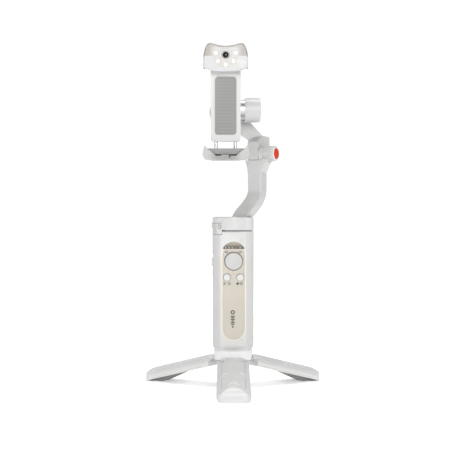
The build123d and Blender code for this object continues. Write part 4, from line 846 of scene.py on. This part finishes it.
# rim of the red cap, at the end of the barrel beside the lower arm
ARM_TURN = math.radians(-27.0)
ARM_ALONG = Vector((math.cos(ARM_TURN), math.sin(ARM_TURN), 0))
ARM_ACROSS = Vector((-ARM_ALONG.y, ARM_ALONG.x, 0))
barrel_face = Face(Vector((23.3, 18.0, 219.5)) + ARM_ALONG * 19.6, ARM_ACROSS, (0, 0, 1))
RELEASE_RIM = [(5.15, -0.6), (5.15, 0.2), (5.5, 0.45), (6.2, 0.35), (6.6, 0.0), (6.6, -0.6)]
piece("release_rim", lathe(barrel_face, 0, 0, RELEASE_RIM, 64), "pan_arm", "arm", "buttons")
arm_face = face_on("lower_arm", (26.0, -60.0, 213.7), (0, 1, 0))
ARM_DOT = [(0, -0.3), (0.55, -0.3), (0.5, 0.06), (0, 0.1)]
piece("arm_dot", lathe(arm_face, 0, 0, ARM_DOT, 24), "pan_arm", "arm", "gasket")
SCREW_R = 1.2
for screw_name, screw_node, screw_from, screw_to, screw_body in (
    ("handle_screw_low", "handle_rear_shell", (0, 80, 52.0), (0, -1, 0), "handle"),
    ("handle_screw_high", "handle_rear_shell", (0, 80, 128.0), (0, -1, 0), "handle"),
    ("sensor_screw_left", "sensor_rear", (-21.0, 60, 312.5), (0, -1, 0), "sensor"),
    ("sensor_screw_right", "sensor_rear", (7.0, 60, 312.5), (0, -1, 0), "sensor"),
):
    cap_screw(screw_name, face_on(screw_node, screw_from, screw_to), 0, 0, SCREW_R, screw_body)

# ---------------------------------------------------------------- floor
FLOOR = 6.0
floor_mesh = bpy.data.meshes.new("floor")
floor_corners = [(-FLOOR, -FLOOR, 0), (FLOOR, -FLOOR, 0), (FLOOR, FLOOR, 0), (-FLOOR, FLOOR, 0)]
floor_mesh.from_pydata(floor_corners, [], [(0, 1, 2, 3)])
floor = bpy.data.objects.new("floor", floor_mesh)
bpy.context.scene.collection.objects.link(floor)
floor_look = plastic("floor_look", (0.92, 0.92, 0.92), 0.9, grain=0.0, drift=0.0)
floor_tree = floor_look.node_tree
floor_shader = floor_tree.nodes["Principled BSDF"]
floor_shader.inputs["Emission Color"].default_value = (1.0, 1.0, 1.0, 1.0)
# brighter away from the object, so that floor and backdrop meet in white
floor_place = floor_tree.nodes.new("ShaderNodeTexCoord")
floor_far = node_of(floor_tree, "ShaderNodeVectorMath", operation="LENGTH")
floor_glow = floor_tree.nodes.new("ShaderNodeMapRange")
floor_glow.inputs["From Min"].default_value = 0.12
floor_glow.inputs["From Max"].default_value = 0.9
floor_glow.inputs["To Min"].default_value = 0.30
floor_glow.inputs["To Max"].default_value = 0.75
floor_tree.links.new(floor_place.outputs["Object"], floor_far.inputs[0])
floor_tree.links.new(floor_far.outputs["Value"], floor_glow.inputs["Value"])
floor_tree.links.new(floor_glow.outputs["Result"], floor_shader.inputs["Emission Strength"])
floor.data.materials.append(floor_look)
